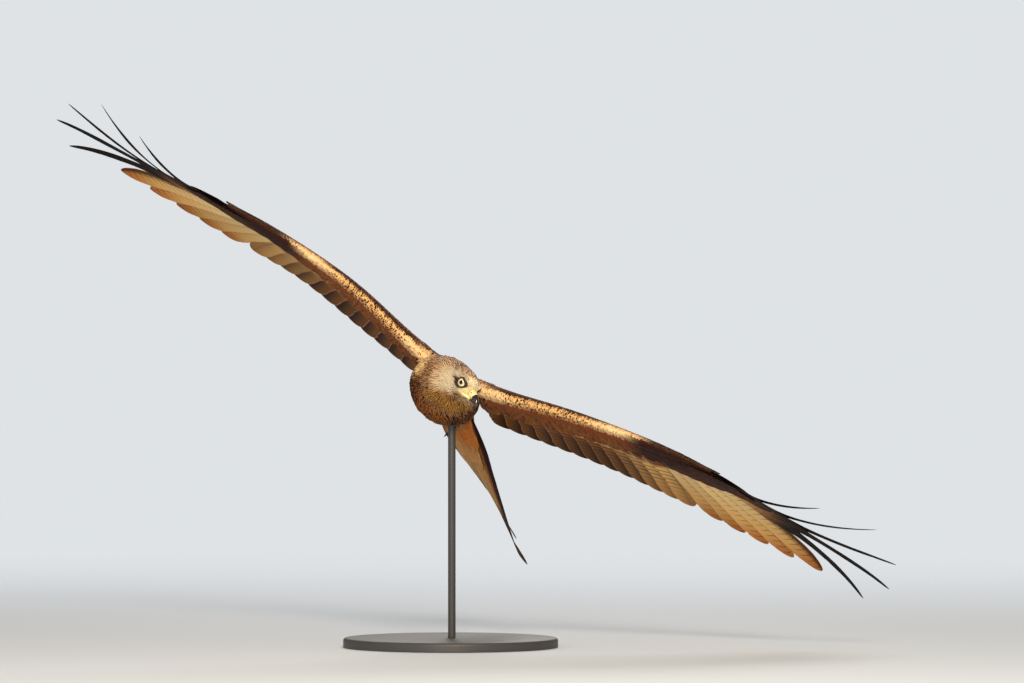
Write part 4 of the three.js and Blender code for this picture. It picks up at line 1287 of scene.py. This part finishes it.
def add_flight(coat, plan, surface, island, matrix=None):
    """Adds one flight feather with its shaft to a coat; island is its strip on the bake map."""
    upper, lower, share, span, line, s, length = flight_feather(plan, surface)
    painted = np.stack([MARKS[plan["group"]](plan, share, under) for under in (False, True)])
    points = np.stack([upper, lower]).reshape(-1, 3)
    rod, rod_quads = shaft(line, s, 0.0042 * length + 0.35)
    if matrix is not None:
        points, rod = moved(matrix, points), moved(matrix, rod)
    left, width = island
    place = np.stack([left + (0.23 + 0.22 * share[..., 0]) * width, 0.02 + 0.96 * share[..., 1]], -1)
    patch = np.stack([place, place + (0.5 * width, 0)]).reshape(-1, 2)
    both = np.stack([share, share]).reshape(-1, 3)
    spans = np.stack([span, span]).reshape(-1, 3)
    coat.add(points, grid_quads(ROWS, COLUMNS), both, spans, painted.reshape(-1, 12), patch)
    shade = np.tile(np.concatenate([linear(SHAFT_COLOURS[plan["group"]]), [0], np.zeros(8)]), (len(rod), 1))
    down = np.repeat(s, SHAFT_SIDES)
    middle = np.stack([0 * down, down, 0 * down], 1)
    rod_patch = np.stack([0 * down + left + 0.97 * width, 0.02 + 0.96 * down], 1)
    coat.add(rod, rod_quads, middle, middle * (1, length, 1), shade, rod_patch, shaft=True)


# Small coverts of the wing, in rows round the leading edge

def wing_cover(side, face):
    """Places on the small coverts' bed: a function of reach and of distance behind the leading edge."""
    surface = wing_surface(side)
    reach = np.linspace(40, 500, 116)
    share = np.linspace(0, 1, 120) ** 1.5 * 1.5
    x, u = np.meshgrid(reach, share, indexing="ij")
    chord = FLESH_CHORD(x)
    flesh = half_thickness(u, FLESH_THICKNESS(x)) * (u < 1)
    bed = (COVERT_GAP[face] + 1.3 + 0.4 * (face < 0)) * smoothstep(u, 0.35, 0.75)
    half = np.maximum(flesh - COAT_DEPTH["wing"] * smoothstep(u, 0, 0.1), bed)
    y = LEADING_LINE(x) + u * chord
    z = surface(x, y) + face * half
    table = np.stack([x, y, z], -1)
    steps = np.linalg.norm(np.diff(table, axis=1), axis=-1)
    arc = np.concatenate([np.zeros((len(reach), 1)), np.cumsum(steps, 1)], 1)
    even = np.linspace(0, 1, 160)
    total = arc[:, -1]
    level = np.empty((len(reach), len(even), 3))
    for i in range(len(reach)):
        for k in range(3):
            level[i, :, k] = np.interp(even * total[i], arc[i], table[i, :, k])
    normals = unit(np.cross(np.gradient(level, axis=0), np.gradient(level, axis=1))) * face

    def at(px, distance):
        row = np.clip((px - reach[0]) / (reach[1] - reach[0]), 0, len(reach) - 1.001)
        extent = np.interp(px, reach, total)
        column = np.clip(distance / extent * (len(even) - 1), 0, len(even) - 1.001)
        i, j = row.astype(int), column.astype(int)
        fi, fj = (row - i)[..., None], (column - j)[..., None]

        def mixed(values):
            near = values[i, j] * (1 - fj) + values[i, j + 1] * fj
            far = values[i + 1, j] * (1 - fj) + values[i + 1, j + 1] * fj
            return near * (1 - fi) + far * fi
        return mixed(level), unit(mixed(normals))

    def flesh_arc(px):
        """Distance over the bed from the leading edge to the end of the flesh."""
        edge = np.array([np.interp(1.0, share, arc[i]) for i in range(len(reach))])
        return np.interp(px, reach, edge)
    return at, flesh_arc


def covert_kinds(face, x, share):
    """Markings of the small coverts by reach and place across the wing."""
    hand = smoothstep(x, 303, 352) if face < 0 else smoothstep(x, 322, 376)
    mottled = smoothstep(x, 84, 122) * (1 - smoothstep(x, 225, 300))
    if face < 0:
        return mixed_kinds([
            ("under_spotted", np.ones(len(x))),
            ("under_mottled", mottled),
            ("under_rufous", smoothstep(share, 0.08, 0.17)),
            ("under_median", smoothstep(share, 0.46, 0.64)),
            ("under_hand", hand),
        ])
    return mixed_kinds([
        ("under_spotted", np.ones(len(x))),
        ("under_mottled", mottled),
        ("upper_edge", smoothstep(share, 0.04, 0.11)),
        ("upper_dark_edge", smoothstep(share, 0.01, 0.05) * (1 - smoothstep(share, 0.11, 0.2))
         * smoothstep(x, 50, 90) * (1 - smoothstep(x, 250, 300))),
        ("upper_lesser", smoothstep(share, 0.18, 0.26)),
        ("upper_median", smoothstep(share, 0.55, 0.72)),
        ("upper_hand", hand),
    ])


def clothe_wing(side, face):
    """Adds the rows of small coverts of one face of a wing, shaped as a left wing."""
    at, flesh_arc = wing_cover(side, face)
    behind, _ = wing_cover(side, -face)
    coat = Coat()
    rows, columns = 6, 5
    stations, shares = np.linspace(0, 1, rows), np.linspace(-1, 1, columns)
    for order, row_share in enumerate(ROW_SHARES):
        width = 4.4 + 14.3 * row_share
        x = 50.0 + (order % 2) * 0.4 * width
        places = []
        while x < 474:
            size = 1 - 0.35 * float(smoothstep(x, 330, 470))
            places.append((x, size))
            x += width * size * 0.56
        x, size = np.array(places).T
        x = x + chance.normal(0, 0.26, len(x)) * width
        length = (9 + 31 * row_share) * size * chance.uniform(0.9, 1.12, len(x))
        wide = width * size * chance.uniform(0.92, 1.1, len(x))
        lean = np.radians(14 + 36 * smoothstep(x, 300, 440) + chance.normal(0, 3, len(x)))
        start = row_share * flesh_arc(x) + chance.normal(0, 0.16, len(x)) * length - 2.5
        half = wide[:, None] / 2 * leaf(stations)
        along = length[:, None, None] * stations[:, None] + 0 * shares
        lateral = half[:, :, None] * shares
        sine, cosine = np.sin(lean)[:, None, None], np.cos(lean)[:, None, None]
        px = x[:, None, None] + sine * along + cosine * lateral
        distance = start[:, None, None] + cosine * along - sine * lateral
        places, facing = at(px, np.maximum(distance, 0.0))
        turned, turned_facing = behind(px, np.maximum(-distance, 0.0))
        beyond = (distance < 0)[..., None]
        places, facing = np.where(beyond, turned, places), np.where(beyond, turned_facing, facing)
        rise = (0.3 + 2.6 * row_share) * size
        roof = 0.08 * half[:, :, None] * (1 - shares ** 2)
        height = 0.25 + rise[:, None, None] * stations[:, None] + roof + 0.035 * lateral * face
        grid = places + facing * height[..., None]
        if face < 0:
            grid, facing = grid[:, :, ::-1], facing[:, :, ::-1]
        marks = covert_kinds(face, x, np.full(len(x), row_share))
        add_small(coat, grid, facing, half, length, marks, WING_MARKS)
    return coat


FLESH_NODES = ("head", "neck", "torso", "tail", "leg_left", "leg_right", "wing_left_inner",
               "wing_left_outer", "wing_right_inner", "wing_right_outer")


def make_skin():
    skin = piece("skin", skin_points, skin_faces, down_skin, "plumage_trunk", *FLESH_NODES)
    marks = body_markings(skin_points, skin_normals)
    reach = np.abs(skin_points[:, 0])
    on_wing = smoothstep(reach, 60, 85)[:, None]
    share = np.clip((skin_points[:, 1] - LEADING_LINE(reach)) / FLESH_CHORD(reach), 0, 1)
    face = np.where(skin_normals[:, 2:] > 0, covert_kinds(1, reach, share), covert_kinds(-1, reach, share))
    give(skin.data, "ground", (marks * (1 - on_wing) + face * on_wing)[:, :4], "color")
    give_map(skin.data, "OFBake", unwrapped(skin_points))


def make_wings():
    for side in ("left", "right"):
        surface = wing_surface(side)
        mirror = side == "right"
        secondaries, primaries = secondary_plans(), primary_plans(side)
        groups = {
            "arm": [*secondaries, *tertial_plans(), *covert_plans(secondaries, 1, ARM_COVERTS),
                    *covert_plans(secondaries, -1, ARM_COVERTS)],
            "hand": [*primaries, *covert_plans(primaries, 1, HAND_COVERTS),
                     *covert_plans(primaries, -1, HAND_COVERTS), *alula_plans()],
        }
        for part, node in (("arm", "inner"), ("hand", "outer")):
            coat = Coat()
            for k, plan in enumerate(groups[part]):
                add_flight(coat, plan, surface, (k / len(groups[part]), 1 / len(groups[part])))
            coat.finish(f"wing_{side}_{part}", f"plumage_{part}", barred_vane, [f"wing_{side}_{node}"],
                        mirror)
        for face, place in ((1, "upper"), (-1, "under")):
            coat = clothe_wing(side, face)
            coat.finish(f"wing_{side}_{place}_coverts", "plumage_arm", contour_vane, (), mirror)


TAIL_BED = {
    1: curve_through([(-20, 17), (10, 15), (45, 10.8), (76, 6), (110, 4.2), (160, 3.4)]),
    -1: curve_through([(-20, 24), (10, 21.4), (45, 15), (76, 8), (110, 3.4), (160, 1.6)]),
}
TAIL_BED_WIDTH = curve_through([(-10, 27), (40, 25), (90, 30), (160, 44)])


def tail_bed(x, y, face):
    """Height of the long coverts' bed over or under the tail feathers."""
    thin = 3.2 if face > 0 else 1.2
    crown = np.sqrt(np.clip(1 - (x / TAIL_BED_WIDTH(y)) ** 2, 0, 1))
    return tail_surface(x, y) + face * (thin + np.maximum(TAIL_BED[face](y) - thin, 0) * crown)


def clothe_tail(face):
    """Rows of long coverts that taper from the rump or the vent over the roots of the tail feathers."""
    coat = Coat()
    rows, columns = 8, 7
    stations, shares = np.linspace(0, 1, rows), np.linspace(-1, 1, columns)
    for order, y in enumerate(np.arange(-6, 96, 9.2)):
        half_row = 20 + 7 * float(smoothstep(y, -6, 34))
        x = np.arange(-half_row + 4 * (order % 2), half_row, 8.2)
        x = x + chance.normal(0, 1.2, len(x))
        start = y + chance.normal(0, 2.0, len(x)) - 0.10 * np.abs(x)
        length = (40 + 0.22 * y) * chance.uniform(0.88, 1.12, len(x)) * (1 - 0.15 * np.abs(x) / half_row)
        width = 14.5 * chance.uniform(0.9, 1.1, len(x))
        turn = np.radians(TAIL_HALF_FAN * 1.25) * x / half_row + chance.normal(0, 0.03, len(x))
        half = width[:, None] / 2 * leaf(stations)
        uneven = 1 + chance.normal(0, 0.04, (len(x), rows, columns)) * np.abs(shares)
        lateral = half[:, :, None] * shares * uneven
        frayed = chance.normal(0, 0.02, (len(x), rows, columns)) * stations[:, None] ** 3
        down = length[:, None, None] * (stations[:, None] + frayed)
        sine, cosine = np.sin(turn)[:, None, None], np.cos(turn)[:, None, None]
        px = x[:, None, None] + sine * down + cosine * lateral
        py = start[:, None, None] + cosine * down - sine * lateral
        z = tail_bed(px, py, face)
        slope_x = tail_bed(px + 1, py, face) - z
        slope_y = tail_bed(px, py + 1, face) - z
        facing = unit(np.stack([-slope_x, -slope_y, np.ones_like(z)], -1)) * face
        height = 0.2 + 1.6 * stations[:, None] + 0.06 * half[:, :, None] * (1 - shares ** 2)
        grid = np.stack([px, py, z], -1) + facing * height[..., None]
        if face < 0:
            grid, facing = grid[:, :, ::-1], facing[:, :, ::-1]
        grid, facing = moved(TAIL, grid), facing @ TAIL[:3, :3].T
        pale_end = smoothstep(np.full(len(x), y), 30, 80) * (face < 0)
        marks = mixed_kinds([("rump" if face > 0 else "vent", np.ones(len(x))), ("vent_end", pale_end)])
        add_small(coat, grid, facing, half, length, marks, BODY_MARKS)
    return coat


def make_tail():
    for face, place in ((1, "upper"), (-1, "under")):
        clothe_tail(face).finish(f"tail_{place}_coverts", "plumage_tail", contour_vane)
    coat = Coat()
    plans = tail_plans()
    for k, plan in enumerate(plans):
        add_flight(coat, plan, tail_surface, (k / len(plans), 1 / len(plans)), TAIL)
    coat.finish("tail_feathers", "plumage_tail", barred_vane, ["tail"])


# Head parts

def ball(radius, rings=24, sides=36):
    """A closed ball round the origin with its poles on the x axis."""
    shell = []
    for angle in np.linspace(0.01, math.pi - 0.01, rings):
        r = math.sin(angle) * radius
        shell.append(ring((math.cos(angle) * radius, 0, 0), (0, r, 0), (0, 0, r), sides))
    return lofted(shell)


def make_eyeball_surface():
    """Wet cornea over a cream iris and a round black pupil."""
    material, tree = new_material("eye, wet cornea over a cream iris", Roughness=0.1, Coat_Weight=0.4,
                                  Coat_Roughness=0.02, Specular_IOR_Level=0.25)
    look = add(tree, "Attribute", out="Vector", attribute_name="look")
    radius = add(tree, "SeparateXYZ", {0: look})
    grain = add(tree, "TexNoise", {"Vector": look, "Scale": 1.4, "Detail": 3.0})
    wander = add(tree, "Math", {0: grain, 1: 0.5, 2: radius}, operation="MULTIPLY_ADD")
    iris = add(tree, "MapRange", {0: wander, 1: 3.6, 2: 6.6})
    cream = add(tree, "Mix", {0: iris, 6: tint("c4ab80"), 7: tint("eadfc6")}, 2, data_type="RGBA")
    pupil = add(tree, "MapRange", {0: radius, 1: PUPIL_RADIUS, 2: PUPIL_RADIUS + 0.25},
                interpolation_type="SMOOTHSTEP")
    seen = add(tree, "Mix", {0: pupil, 6: tint("050505"), 7: cream}, 2, data_type="RGBA")
    limbus = add(tree, "MapRange", {0: radius, 1: IRIS_RADIUS, 2: IRIS_RADIUS + 0.5},
                 interpolation_type="SMOOTHSTEP")
    wear(tree, add(tree, "Mix", {0: limbus, 6: seen, 7: tint("2a211a")}, 2, data_type="RGBA"))
    return material


def two_tone(name, dark, light, size, relief, **shader):
    """Skin, horn or paint: two tones in soft patches of a size in mm, with a fine relief of that grain."""
    material, tree = new_material(name, **shader)
    place = add(tree, "TexCoord", out="Object")
    grain = add(tree, "TexNoise", {"Vector": place, "Scale": 1 / (size * MM), "Detail": 4.0})
    even = add(tree, "MapRange", {0: grain, 1: 0.35, 2: 0.65})
    colour = add(tree, "Mix", {0: even, 6: tint(dark), 7: tint(light)}, 2, data_type="RGBA")
    wear(tree, colour, add(tree, "Bump", {"Height": grain, "Strength": 0.5, "Distance": relief * MM}))
    return material


# Waxy swollen skin at the root of the bill: soft yellow, a little shiny
cere_skin = two_tone("cere, waxy yellow skin", "dccb84", "f0e6ba", 5.0, 0.15,
                     Roughness=0.42, Coat_Weight=0.2, Coat_Roughness=0.15)
# Horn of bill and claws, worn smooth: dark, with a long soft highlight
bill_horn = two_tone("bill, polished dark horn", "17161a", "2c2a30", 4.0, 0.08,
                     Roughness=0.24, Coat_Weight=0.3, Coat_Roughness=0.15)
claw_horn = two_tone("claw, smooth black horn", "0e0d0f", "1d1b1e", 3.0, 0.06,
                     Roughness=0.28, Coat_Weight=0.2, Coat_Roughness=0.15)
# Thin bare skin round the eye: dull grey-brown folds, dark enough that the lid's thick top and drawn-out
# front corner serve as painted shade of the brow
lid_skin_and_brow_shade = two_tone("eyelid, thin folded skin, dark as painted brow shade", "1e1612", "32271f", 1.2, 0.2, Roughness=0.6)
# Horny scutes on the toes: yellow with darker seams
toe_skin = two_tone("toe, horny yellow scutes", "6e441a", "a8742a", 2.2, 0.3, Roughness=0.5)
eye_surface = make_eyeball_surface()


def eyelid_rim(side):
    """Rings round the rim of an eyelid, thicker under the brow and drawn out to the corners; these thick dark
    parts are painted shade of the brow.
    """
    rim = []
    for angle in np.linspace(0, 2 * math.pi, 33)[:-1]:
        out = np.array([0, math.cos(angle), math.sin(angle)])
        # The thick parts under the brow and at the front corner stand in as painted shade of the brow
        corner = max(0.0, math.cos(angle - 2.9)) ** 6
        brow = max(0.0, math.cos(angle - 2.1)) ** 3
        thick = 1.45 + 1.1 * brow + 2.0 * corner
        middle = out * (LID_RADIUS - 0.9 * brow + 1.6 * corner) + np.array([side * 2.2 * brow, 0, 0])
        rim.append(ring(middle, out * thick, (1.0, 0, 0), 10))
    return rim + rim[:1]


def make_eyes():
    for side, name in ((1, "left"), (-1, "right")):
        points, faces = ball(EYE_RADIUS)
        gaze = unit(np.array([side * 1.0, -0.5, 0.04]))
        off = np.linalg.norm(np.cross(points, gaze), axis=1)
        off = np.where(points @ gaze > 0, off, 20.0)
        turn = np.arctan2(points[:, 2], points[:, 1])
        middle = np.array(EYE) * (side, 1, 1)
        made = piece(f"eyeball_{name}", set_on_head(points + middle), faces, eye_surface, "eye",
                     f"eye_{name}")
        # The look of the eyeball goes by distance from the gaze, and its grain by the turn round it
        give(made.data, "look", np.stack([off, np.cos(turn) * 9, np.sin(turn) * 9], 1))
        rim = eyelid_rim(side)
        quads = tube_quads(33, 10)
        lean = np.array(Matrix.Rotation(-side * 0.36, 4, "Z"))
        points = moved(lean, np.concatenate(rim)) + np.array([side * (EYE[0] + 3.9), EYE[1] - 1.9, EYE[2]])
        quads = quads if side < 0 else quads[:, ::-1]
        piece(f"eyelid_{name}", set_on_head(points), quads, lid_skin_and_brow_shade, "plumage_head")


def bill_rings(path, radii, first, last, count, grown=0.0):
    """Rings of the bill: a ridge on top, cheeks bulging at mid height, and a level cutting edge."""
    points, along = spline(path, 61)
    stations = np.linspace(0, 1, 61)
    radius = curve_through(list(enumerate(radii)))(np.linspace(0, len(radii) - 1, 61))
    rings = []
    for t in np.linspace(first, last, count):
        point = np.array([np.interp(t, stations, points[:, k]) for k in range(3)])
        way = unit(np.array([np.interp(t, stations, along[:, k]) for k in range(3)]))
        up = unit(np.cross(way, (1.0, 0, 0)))
        if up[2] < 0 and way[2] > -0.9:
            up = -up
        r = np.interp(t, stations, radius) + grown
        angle = np.linspace(0, 2 * math.pi, 28, endpoint=False)
        wide = np.cos(angle) * r * 0.9 * (1 - 0.28 * np.maximum(np.sin(angle), 0) ** 2)
        high = np.where(np.sin(angle) > 0, np.sin(angle) * r * 1.12, np.sin(angle) * r * 0.86)
        rings.append(point + wide[:, None] * np.array([1.0, 0, 0]) + high[:, None] * up)
    return rings


def closed_on_head(rings):
    """Points and outward triangles of a closed skin, set on the head."""
    points, faces = lofted([set_on_head(r) for r in rings])
    return points, outward(points, faces)


def make_bill():
    cere = bill_rings(UPPER_BILL, UPPER_RADII, 0.0, 0.36, 10, 0.35)
    horn = bill_rings(UPPER_BILL, UPPER_RADII, 0.28, 1.0, 26)
    low = rod_rings(LOWER_BILL, LOWER_RADII, 24, 14, 0.58)
    piece("cere", *closed_on_head(cere), cere_skin, "cere")
    piece("bill_horn_upper", *closed_on_head(horn), bill_horn, "horn", "bill_upper")
    piece("bill_lower_root", *closed_on_head(low[:8]), cere_skin, "cere", "bill_lower")
    piece("bill_lower_tip", *closed_on_head(low[7:]), bill_horn, "horn")
    lips, pits = [], []
    for side in (1, -1):
        for rise in (1.1, -1.1):
            path = [(side * 4.4, -33, -10 + rise), (side * 9.8, -24, -10.4 + rise),
                    (side * 16.6, -13, -10.4 + 0.4 * rise)]
            lips.append(closed_on_head(rod_rings(path, [1.0, 1.5, 0.7], 12, 20)))
        points, faces = ball(1.0, 10, 14)
        points = set_on_head(points * (0.8, 1.9, 1.0) + np.array([side * 6.0, -31, -0.9]))
        pits.append((points, outward(points, faces)))
    piece("gape_lips", *merged(lips), cere_skin, "cere")
    piece("nostrils", *merged(pits), bill_horn, "horn")


# Feet

def toe_paths(side):
    foot = np.array([FOOT_OUT[side], 111, -34.0])
    hang = TOE_HANG[side]
    inward = unit(np.array([-side * 0.55, 0.35, -0.76 * hang]))
    backward = unit(np.array([-side * 0.35, 0.9, -0.3 * hang]))
    paths = []
    for share in (0, 0.5, 1):
        aim = unit(lerp(inward, backward, share))
        knuckle = foot + aim * 15
        paths.append([foot, knuckle, knuckle + aim * 11 + (0, -2, -3 * hang)])
    hind = unit(np.array([-side * 0.4, -0.5, -0.85]))
    return paths + [[foot, foot + hind * 9, foot + hind * 18]]


def make_feet():
    bend_down = unit(np.array([0, -0.55, -0.5]))
    for side, name in ((1, "left"), (-1, "right")):
        shank = [(side * 30, 70, -45), (0.92 * FOOT_OUT[side], 90, -40), (FOOT_OUT[side], 112, -34)]
        limbs = [lofted(rod_rings(shank, [4.6, 4.2, 5], 20, 20))]
        for number, path in enumerate(toe_paths(side), 1):
            knobs = 1 + 0.10 * np.sin(np.linspace(0, 3 * math.pi, 18))
            rings = rod_rings(path, [4, 3.4, 2.8], 16, 18)
            limbs.append(lofted([r.mean(0) + (r - r.mean(0)) * k for r, k in zip(rings, knobs)]))
            end, aim = path[2], unit(path[2] - path[1])
            claw = [end - aim, end + aim * 6 + bend_down * 2, end + aim * 9 + bend_down * 9]
            points, faces = lofted(rod_rings(claw, [2.6, 1.9, 0.3], 14, 14))
            piece(f"claw_horn_{name}_{number}", points, outward(points, faces), claw_horn, "horn",
                  f"claw_{name}_{number}")
        points, faces = merged([(p, outward(p - p.mean(0), f)) for p, f in limbs])
        piece(f"foot_{name}", points, faces, toe_skin, "plumage_thigh")


# Stand, floor, light and camera

def make_powder_coat():
    """Steel under a sprayed and baked dark grey powder: satin, with a fine orange-peel skin."""
    material, tree = new_material("steel, dark grey powder coat", Roughness=0.48, Specular_IOR_Level=0.4)
    place = add(tree, "TexCoord", out="Object")
    peel = add(tree, "TexNoise", {"Vector": place, "Scale": 1 / (1.5 * MM), "Detail": 1.0})
    cloud = add(tree, "TexNoise", {"Vector": place, "Scale": 1 / (60 * MM)})
    colour = add(tree, "Mix", {0: cloud, 6: tint("393a3d"), 7: tint("3f4043")}, 2, data_type="RGBA")
    wear(tree, colour, add(tree, "Bump", {"Height": peel, "Strength": 0.25, "Distance": 0.05 * MM}))
    return material


def make_stand():
    paint = make_powder_coat()
    inner, level = STAND_RADIUS - STAND_ROUNDING, STAND_THICKNESS - STAND_ROUNDING
    turned = [(0.5, STAND_THICKNESS)]
    for angle in np.linspace(0, math.pi / 2, 8):
        turned.append((inner + STAND_ROUNDING * math.sin(angle), level + STAND_ROUNDING * math.cos(angle)))
    turned += [(STAND_RADIUS, 1.0), (STAND_RADIUS - 1.0, 0.0), (0.5, 0.0)]
    plate = [ring((0, 0, z), (r, 0, 0), (0, r, 0), 128) for r, z in turned]
    low, high = (corner[2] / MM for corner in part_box("stand_rod")[:2])
    rod = [ring((*ROD_PLACE, z), (ROD_RADIUS, 0, 0), (0, ROD_RADIUS, 0), 40) for z in (low, high + 5)]
    for name, rings, node in (("stand_plate", plate, "stand_base"), ("stand_post", rod, "stand_rod")):
        points, faces = lofted(rings)
        mesh = mesh_of(name, points * MM, outward(points, faces))
        mesh.set_sharp_from_angle(angle=math.radians(35))
        new_piece(name, mesh, [paint], [node])


def make_floor():
    """A pale studio floor that fades into the backdrop's tone away from the stand."""
    material, tree = new_material("studio floor, matt pale paint", Roughness=0.8, Base_Color=tint("cfdaea"))
    place = add(tree, "NewGeometry")
    distance = add(tree, "VectorMath", {0: place}, "Value", operation="LENGTH")
    fade = add(tree, "MapRange", {0: distance, 1: 0.8, 2: 3.8}, interpolation_type="SMOOTHSTEP")
    painted = tree.nodes["Principled BSDF"].outputs[0]
    mixed = add(tree, "MixShader", {0: fade, 1: painted, 2: add(tree, "BsdfTransparent")})
    tree.links.new(mixed, tree.nodes["Material Output"].inputs["Surface"])
    points = ring((0, 0, -0.0005), (FLOOR_RADIUS, 0, 0), (0, FLOOR_RADIUS, 0), 96)
    floor = new_object("floor", mesh_of("floor", points, np.arange(96)[None]), [material])


def area_light(name, place, aim, size, power, colour):
    light = bpy.data.lights.new(name, "AREA")
    light.size = size
    light.energy = power
    light.color = linear(colour)
    made = bpy.data.objects.new(name, light)
    made.location = place
    made.rotation_euler = (Vector(aim) - Vector(place)).to_track_quat("-Z", "Y").to_euler()
    bpy.context.scene.collection.objects.link(made)


def make_light():
    aim = (0, 0, 0.45)
    area_light("key", (0.3, -4.4, 2.5), aim, 1.0, 245, "ffecd0")
    area_light("low_fill", (-0.4, -4.0, 0.3), aim, 2.4, 66, "fff0dc")
    area_light("left_fill", (-3.6, -2.0, 1.4), aim, 2.2, 18, "eaf1ff")
    area_light("rim", (0.4, 3.8, 2.6), aim, 1.6, 60, "ffffff")


def make_backdrop():
    """The camera sees a pale backdrop, and a dimmer, warmer one lights the bird."""
    scene = bpy.context.scene
    scene.view_settings.view_transform = "Standard"
    scene.world = bpy.data.worlds.new("backdrop")
    scene.world.use_nodes = True
    tree = scene.world.node_tree
    background = tree.nodes["Background"].inputs
    seen = add(tree, "LightPath", out="Is Camera Ray")
    tone = add(tree, "Mix", {0: seen, 6: tint("f4e4cc"), 7: tint("dfe3e6")}, 2, data_type="RGBA")
    tree.links.new(tone, background["Color"])
    tree.links.new(add(tree, "MapRange", {0: seen, 3: 0.34, 4: 1.0}), background["Strength"])


def make_camera():
    """A long lens that frames the bird as the photo does, seen from straight ahead of the stand."""
    lift = math.radians(CAMERA_LIFT)
    ahead = Vector((0, math.cos(lift), -math.sin(lift)))
    up = Vector((0, math.sin(lift), math.cos(lift)))
    target = Vector((0, 0, FLIGHT_HEIGHT * MM))
    target += Vector((1, 0, 0)) * (PHOTO_SIZE[0] / 2 - BIRD_PIXEL[0]) * PIXEL
    target += up * (BIRD_PIXEL[1] - PHOTO_SIZE[1] / 2) * PIXEL
    data = bpy.data.cameras.new("camera")
    data.sensor_width = 36
    data.lens = 36 * CAMERA_DISTANCE / (PHOTO_SIZE[0] * PIXEL)
    data.clip_end = 200
    camera = bpy.data.objects.new("camera", data)
    camera.location = target - ahead * CAMERA_DISTANCE
    camera.rotation_euler = ahead.to_track_quat("-Z", "Y").to_euler()
    bpy.context.scene.collection.objects.link(camera)
    bpy.context.scene.camera = camera


make_skin()
clothe_body()
make_wings()
make_tail()
make_eyes()
make_bill()
make_feet()
make_stand()
make_floor()
make_light()
make_backdrop()
make_camera()
